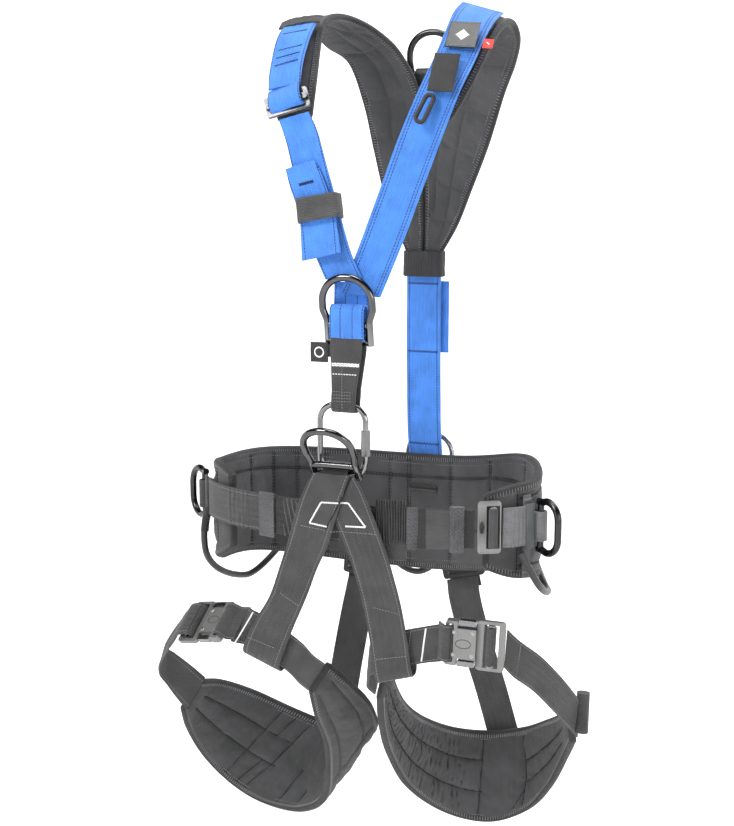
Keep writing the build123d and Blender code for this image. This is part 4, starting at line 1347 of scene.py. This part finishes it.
# ---- Shoulder adjuster ----
restyle(alloy_black, "shoulder_adjuster_frame", "shoulder_adjuster_bar")
adj_x, adj_y, adj_z = axes((36, 3, 13), (4, -38, 16))
over = [
    Vector((-76, -118, 470)) + adj_y * y + adj_z * z
    for y, z in (
        (20, 0.0), (16, 2.6), (12, 5.0), (8, 7.0), (4, 8.3), (0, 8.8), (-4, 8.4), (-7, 6.6), (-8.2, 3.6),
        (-7.6, 0.6), (-5, -1.6),
    )
]
over_rows = rows_on(over, adj_x, outward(over, adj_x, lambda point: adj_z), 19.4)
band("shoulder_adjuster_wrap", over_rows, 2.2, blue_web, body="shoulder_adjuster_bar")
top_row = upper_rows[1]
way = (upper_rows[3].centre - upper_rows[0].centre).normalized()
cover = []
for k in range(-12, 13):
    centre = top_row.centre + top_row.side * (k * 2.0) + top_row.out * (3.6 - 0.02 * k * k)
    half = 8.5 + noise.noise(Vector((k * 0.4, 0, 0))) * 1.4
    cover.append(Row(centre, way, top_row.out, half, (k + 12) * 2.0))
band("shoulder_pad_right_cover", cover, 2.6, pad_mesh, relief=cloth_relief(1.2, 0.06))


# ---- Shoulder pads ----
def dashed(s, count):
    """Places of a seam along a pad, at s across."""
    return [(s, 0.03 + 0.94 * k / count) for k in range(count + 1)]


def yoke_crease(s, h, row, total):
    """Short random creases in the soft lining."""
    if h > 0:
        return 0.0
    place = Vector((s * row.half * 0.06, row.along * 0.11, 5.0))
    ridge = 1 - abs(noise.noise(place) * 2.6)
    return max(0.0, ridge) ** 3 * 0.9


for name, key, turn in (("right", "right_pad", 1), ("left", "left_pad", -1)):
    rows = rows_through(STATIONS[key], FRONT, 2.5)
    inner = [[(-0.2 * turn, 0.42), (-0.1 * turn, 0.62), (-0.35 * turn, 0.97)]]
    inner += [[(0.45 * turn, 0.3), (0.35 * turn, 0.45), (0.5 * turn, 0.62), (0.45 * turn, 0.9)]]
    inner += [[(-0.85, t + 0.01), (-0.1, t + 0.02), (0.85, t)] for t in (0.5, 0.62, 0.72, 0.81, 0.9)]
    inner += [[(-0.6 * turn, 0.34), (0.1 * turn, 0.43), (0.8 * turn, 0.47)]]
    outer = [dashed(-0.72, 6), dashed(0.72, 6)]
    piece = pad(
        f"shoulder_pad_{name}_soft", rows, YOKE_T, outer, inner, edge=0.45, groove=2.4, wrinkle=1.0,
        extra=yoke_crease,
    )
    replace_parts(piece, f"shoulder_pad_{name}")
    bindings(f"shoulder_pad_{name}_binding", rows, YOKE_T * 0.45 + 2.8, 8.0)
    sewing = Thread(f"shoulder_pad_{name}_stitching", thread_grey, 0.8)
    for flip in (1, -1):
        face_rows = [row.flipped(flip) for row in rows]
        sewing.ticks(face_rows, 1.4, 5.4, YOKE_T * 0.225 + 1.5)
        for s in (-0.8, 0.8):
            seam_line(sewing, face_rows, dashed(s, 8), YOKE_T * 0.36, 3.8)
    sewing.make()

# ---- Trim on the left shoulder ----
patch_x, patch_y, patch_z = axes((46, 5, -3), (3, -36, 33))
patch_o = Vector((111, -74, 537))


def flat_rows(origin, x_dir, y_dir, out, half, top, bottom, step=2.0):
    count = max(2, round((top - bottom) / step))
    return [
        Row(origin + y_dir * (top + (bottom - top) * k / count), x_dir, out, half, (top - bottom) * k / count)
        for k in range(count + 1)
    ]


backing = straight_rows(Vector((0.5, 131.5, 432)), Vector((0, 0, -4)), 36, X_AXIS, -Y_AXIS, 8.0)
band("yoke_backing", backing, 2.0, elastic_dark)
label_rows = flat_rows(patch_o + patch_z * 3.7, patch_x, patch_y, patch_z, 16.5, 20, -18)
piece = band("shoulder_label_patch", label_rows, LABEL_T, patch_black)
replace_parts(piece, "shoulder_labels")
mark = Thread("shoulder_label_mark", print_white, 1.6)


def on_patch(x, y):
    """A point on the shoulder label's face."""
    return patch_o + patch_x * x + patch_y * y + patch_z * 4.5


for k in range(13):
    reach = 7.5 * (1 - abs(k - 6) / 6.5)
    mark.stitch(on_patch(-reach, k * 1.2 - 7.2), on_patch(reach, k * 1.2 - 7.2), patch_z, 0.3)
mark.make()
frame_line = Thread("shoulder_label_stitching", thread_grey, 0.7)
corners = [on_patch(x, y) for x, y in ((-14.5, 18), (14.5, 18), (14.5, -16), (-14.5, -16), (-14.5, 18))]
frame_line.run(corners, [patch_z] * 5, 3.0)
frame_line.make()
tab_rows = flat_rows(patch_o + patch_x * 29 + patch_z * 0.6, patch_x, patch_y, patch_z, 5.5, -1.5, -14.5)
band("shoulder_tab_red", tab_rows, 1.2, tab_red)
tab_bar = Thread("shoulder_tab_mark", print_white, 1.2)
tab_face = patch_o + patch_z * 1.2
tab_bar.stitch(tab_face + patch_x * 27 - patch_y * 6, tab_face + patch_x * 31 - patch_y * 10, patch_z, 0.2)
tab_bar.make()

flap_x, flap_y, flap_z = axes((46, 4, -3), (2, -40, 24))
flap_o = Vector((102, -107, 500))
flap_rows = flat_rows(flap_o + flap_z * 3.6, flap_x, flap_y, flap_z, 14.0, 19.5, -26.5)


def flap_relief(s, h, row):
    tuck = 1.1 * (1 - s * s) * sin(row.along / 45 * pi)
    return tuck + noise.noise(row.centre * 0.05 + row.side * s) * 0.7


piece = band("closure_flap_soft", flap_rows, 2.2, flap_cloth, body="closure_flap", relief=flap_relief)
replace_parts(piece, "closure_flap")
park_x, park_y, park_z = axes((0.9, 0.1, -0.4), (0.1, -1, 0.3))
park_o = Vector((94, -120, 478)) + park_z * 3.7 + park_y * -20
loop_points = circle_points(park_o + park_y * 11, park_x, park_y, range(0, 181, 20), 4.6)
loop_points += circle_points(park_o - park_y * 11, park_x, park_y, range(180, 361, 20), 4.6 * 1.05, 4.6)
outs = [park_z] * len(loop_points)
park_name = "lanyard_parking_loop"
piece = bead(f"{park_name}_soft", loop_points, outs, 4.4, 6.5, leather, park_name, closed=True)
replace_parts(piece, park_name)


# ---- Dorsal plate, back strap and back ring ----
piece = band("dorsal_plate_soft", flat_loop(3.0, 20.0, 141, 480, 514, 5.8), 2.6, plastic_black)
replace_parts(piece, "dorsal_plate")

_, long_strap = soft_strap(
    "back_strap_long", "long_strap", blue_web, ["back_strap"], 2 * WEB_T, cloth_relief(1.0, 0.012)
)
tab_rows = straight_rows(Vector((18.5, 130.6, 259)), Vector((0, 0, -3)), 31, X_AXIS, Y_AXIS, 13.0)
band("back_strap_tab", tab_rows, 2.0, blue_plain, relief=cloth_relief(0.6, 0.05))
band("back_ring_wrap", flat_loop(1.0, 20.0, 150, -6, 18, 4.6), WRAP_T, dark_web)
back_tacks = Thread("back_strap_stitching", thread_dark, 1.0)
for z in (50, 30, 170, 256):
    points, outs = seen(-20, z, 20, z, [long_strap], 2.0, y=60)
    back_tacks.zigzag(points, outs, 1.6)
back_tacks.make()
restyle(steel_satin, "back_belt_ring")


# ---- Thigh pads ----
# Seams of the thigh pads' linings, as places across and along.
leg_inner = {
    "left": [
        [(-0.36, 0.06), (-0.36, 0.3), (-0.38, 0.56)],
        [(0.32, 0.06), (0.32, 0.3), (0.34, 0.56)],
        [(-0.95, 0.56), (0.95, 0.55)],
        [(-0.95, 0.68), (0.2, 0.69), (0.95, 0.67)],
        [(-0.2, 0.69), (-0.3, 0.94)],
        [(0.32, 0.68), (0.3, 0.92)],
        [(0.95, 0.63), (0.5, 0.68)],
    ],
    "right": [
        [(-0.34, 0.65), (-0.36, 0.8), (-0.3, 0.96)],
        [(0.22, 0.65), (0.24, 0.8), (0.3, 0.96)],
        [(-0.95, 0.65), (0.24, 0.66)],
        [(-0.95, 0.69), (-0.34, 0.7)],
        [(-0.95, 0.73), (0.95, 0.75)],
        [(0.24, 0.66), (0.95, 0.68)],
        [(0.24, 0.69), (0.95, 0.71)],
        [(0.1, 0.57), (0.95, 0.56)],
        [(0.55, 0.5), (0.95, 0.5)],
    ],
}


def leg_creases(name):
    """Creases across the lining: gathered in rows on the left pad, fine and random on the right one."""

    def extra(s, h, row, total):
        if h > 0:
            return 0.0
        t = row.along / total
        place = Vector((s * row.half * 0.05, row.along * 0.09, 2.0))
        ridge = max(0.0, 1 - abs(noise.noise(place) * 2.8)) ** 3 * 0.7
        if name == "right" or t > 0.56:
            return ridge
        bend = noise.noise(Vector((s * 1.4, row.along * 0.05, 9.0))) * 2.2
        wave = abs(sin(row.along * 0.35 + bend + (1.3 if s > 0.32 else 0.0) + (0.8 if s < -0.36 else 0.0)))
        return ridge - (1 - wave) ** 6 * 4.4 * min(1.0, (0.58 - t) * 12)

    return extra


for name in ("left", "right"):
    rows = rows_through(STATIONS[f"leg_pad_{name}"], (0, 0, 1), 2.2)
    middle = rows[len(rows) // 2]
    if middle.out.y < 0:
        for row in rows:
            row.out = -row.out
    outer = [dashed(-0.5, 6), dashed(0.5, 6)]
    outer += [[(-0.95, t), (0.95, t)] for t in (0.3, 0.5, 0.7)]
    piece = pad(
        f"leg_pad_{name}_soft", rows, PAD_T, outer, leg_inner[name], edge=0.45, groove=3.6, wrinkle=1.5,
        extra=leg_creases(name),
    )
    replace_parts(piece, f"leg_pad_{name}")
    bindings(f"leg_pad_{name}_binding", rows, PAD_T * 0.45 + 3.0, 10.0)
    sewing = Thread(f"leg_pad_{name}_stitching", thread_grey, 1.2)
    for flip in (1, -1):
        face_rows = [row.flipped(flip) for row in rows]
        sewing.ticks(face_rows, 1.8, 6.8, PAD_T * 0.225 + 1.6)
        for s in (-0.86, 0.86):
            seam_line(sewing, face_rows, dashed(s, 10), PAD_T * 0.3, 3.8)
    sewing.make()
    dark_sewing = Thread(f"leg_pad_{name}_seams", thread_black, 1.1)
    for seam in leg_inner[name]:
        seam_line(dark_sewing, [row.flipped() for row in rows], seam, PAD_T * 0.22, 3.6)
    dark_sewing.make()

# ---- Leg straps ----
front = {}
leg_ends = {}
for name in ("left", "right"):
    rows, front[name] = soft_strap(
        f"leg_front_strap_{name}_soft", f"front_{name}", dark_sewn, [f"leg_front_strap_{name}"],
        relief=cloth_relief(0.9, 0.03),
    )
    leg_ends[name] = rows[-1]
white = Thread("leg_strap_white_stitching", thread_white, 1.5)
for name, line in (("left", (100, -100, 95, -138)), ("right", (-111, -106, -131, -142))):
    points, outs = seen(*line, [front[name]], 1.0, 0.3)
    white.zigzag(points, outs, 0.9)
white.make()
grey = Thread("leg_strap_grey_stitching", thread_grey, 1.0)
for name, line in (
    ("left", (83, -103, 78, -139)), ("right", (-84, -116, -100, -150)), ("left", (62, -112, 61, -152)),
):
    grey.run(*seen(*line, [front[name]], 1.4), 3.0)
grey.make()

# How far from its buckle each outer strap is doubled.
HEM_AT = {"left": 19.0, "right": 48.0}
for name, key, start, end in (
    ("left", "outer_webbing", (0.196, -0.134, -0.118), (0.240, -0.070, -0.205)),
    ("right", "outer_right", (-0.222, -0.122, -0.150), (-0.266, -0.080, -0.215)),
):
    rows = rows_through(STATIONS[key], FRONT, 3.0)

    def outer_relief(s, h, row):
        """The doubled end next to the buckle is thicker outside."""
        doubled = 1.6 if row.along < HEM_AT[name] and h > 0 else 0.0
        place = (row.centre + row.side * (s * row.half)) * 0.03
        return doubled + noise.noise(place) * 0.9

    strap = f"leg_outer_strap_{name}"
    piece = band(f"{strap}_soft", rows, WEB_T, dark_sewn, body=None, relief=outer_relief, count=14)
    hem = Thread(f"leg_outer_strap_{name}_hem", thread_grey, 1.0, None)
    hem.across(rows, (HEM_AT[name] + 0.6) / rows[-1].along, 2.0, 0.5, 10, 9)
    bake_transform(hem.make())
    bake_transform(piece)
    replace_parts(piece, strap)
    if name == "left":
        roll_path = [Vector((251.5, -38, -240)) + Vector((1, 0, 48)).normalized() * (6 * k) for k in range(9)]
        bead("leg_strap_rolled_end", roll_path, [X_AXIS] * 9, 12, 15, dark_web, corner=2.4, count=20)


# ---- Leg buckles ----
def buckle_frame(centre, along, width_dir):
    """A buckle's middle, and its directions along, across and out of its face."""
    along = Vector(along).normalized()
    normal = along.cross(Vector(width_dir)).normalized()
    if normal.y > 0:
        normal = -normal
    return Vector(centre), along, normal.cross(along), normal


GRIP_X = 20
for name, centre, along, width_dir, lead_in in (
    ("left", (152, -144, -113), (60, 9, -3), (4, -1, 44), ()),
    ("right", (-171, -142, -127), (-46, 14, -10), (5, 44, 36), ((3, 0, 0),)),
):
    o, ax, ay, az = buckle_frame(centre, along, width_dir)
    restyle(alloy_buckle, f"leg_buckle_body_{name}", f"leg_buckle_plug_{name}")
    restyle(alloy_dark, f"leg_buckle_lever_lower_{name}", f"leg_buckle_lever_upper_{name}")
    restyle(alloy_dark, f"leg_adjuster_bar_{name}")
    for tag, x, y in (("a", -21.5, 13.0), ("b", -21.5, -13.0), ("c", 0.0, 13.0), ("d", 0.0, -13.0)):
        rings = []
        for k, radius in enumerate((2.7, 2.6, 2.1, 0.9)):
            middle = o + ax * x + ay * y + az * (4.6 + k * 0.35)
            rings.append(circle_points(middle, ax, ay, range(0, 360, 30), radius))
        places = [[(0.0, 0.0)] * 12] * 4
        skin(f"leg_buckle_rivet_{tag}_{name}", rings, places, steel_satin, "harness", sharp=50.0)
    oval = circle_points(o - ax * 10 + az * 5.1, ax, ay, range(0, 360, 12), 8.5, 5.0)
    bead(f"leg_buckle_oval_{name}", oval, [az] * 30, 1.1, 0.7, alloy_buckle, closed=True, corner=2.0, count=8)

    # The front strap's end, turned edge on and folded through the body's slot.
    strap_end = leg_ends[name]
    down = ay if ay.z < 0 else -ay
    turned = ((-38, -1.5), (-35, 3.4), (-31.5, 7.4), (-27.5, 8.6), (-24, 6.6), (-22.6, 2.6), (-22.8, -1.5))
    knots = [strap_end.centre + az * 2.0 + Vector(step) for step in lead_in]
    turns = [0.0] * len(knots) + [min(1.0, 0.45 + 0.2 * k) for k in range(len(turned))]
    knots += [o + ax * x + az * z for x, z in turned]
    points, sides = [knots[0]], [strap_end.side.lerp(down, turns[0]).normalized()]
    for k in range(len(knots) - 1):
        for u in (0.25, 0.5, 0.75, 1.0):
            points.append(through(knots, k, u))
            turn = turns[k] * (1 - u) + turns[k + 1] * u
            sides.append(strap_end.side.lerp(down, turn).normalized())
    outs = outward(points, sides, lambda point: az - ax * 0.8)
    band(f"leg_buckle_fold_{name}", rows_on(points, sides, outs, 21.5), WRAP_T, dark_sewn)

    grip = o + ax * GRIP_X
    wrap = circle_points(grip, ax, az, range(-60, 241, 20), 4.4, 6.4)
    rows = rows_on(wrap, ay, [(point - grip).normalized() for point in wrap], 22.0)
    band(f"leg_adjuster_wrap_{name}", rows, WRAP_T, dark_web, f"leg_adjuster_bar_{name}")

# ---- Rear risers ----
for name, centre, along in (("right", (-87, 140, -124), (42, 0, -4)), ("left", (51, 140, -112), (43, 0, 10))):
    soft_strap(
        f"rear_riser_{name}_soft", f"riser_{name}", dark_web, [f"rear_riser_{name}"],
        relief=cloth_relief(1.0, 0.02),
    )
    o, ax = Vector(centre), Vector(along).normalized()
    ay = Y_AXIS.cross(ax)
    band(f"riser_top_{name}", flat_rows(o - Y_AXIS, ax, ay, -Y_AXIS, 20.5, 26, -17), 2.4, black_web_and_shadow)
    pin = o + Y_AXIS * 1.5
    wrap = circle_points(pin, ay, Y_AXIS, range(-30, 211, 20), 4.6)
    rows = rows_on(wrap, ax, [(point - pin).normalized() for point in wrap], 20.0)
    band(f"riser_wrap_{name}", rows, WRAP_T, dark_web)
restyle(plastic_black, "riser_buckles")
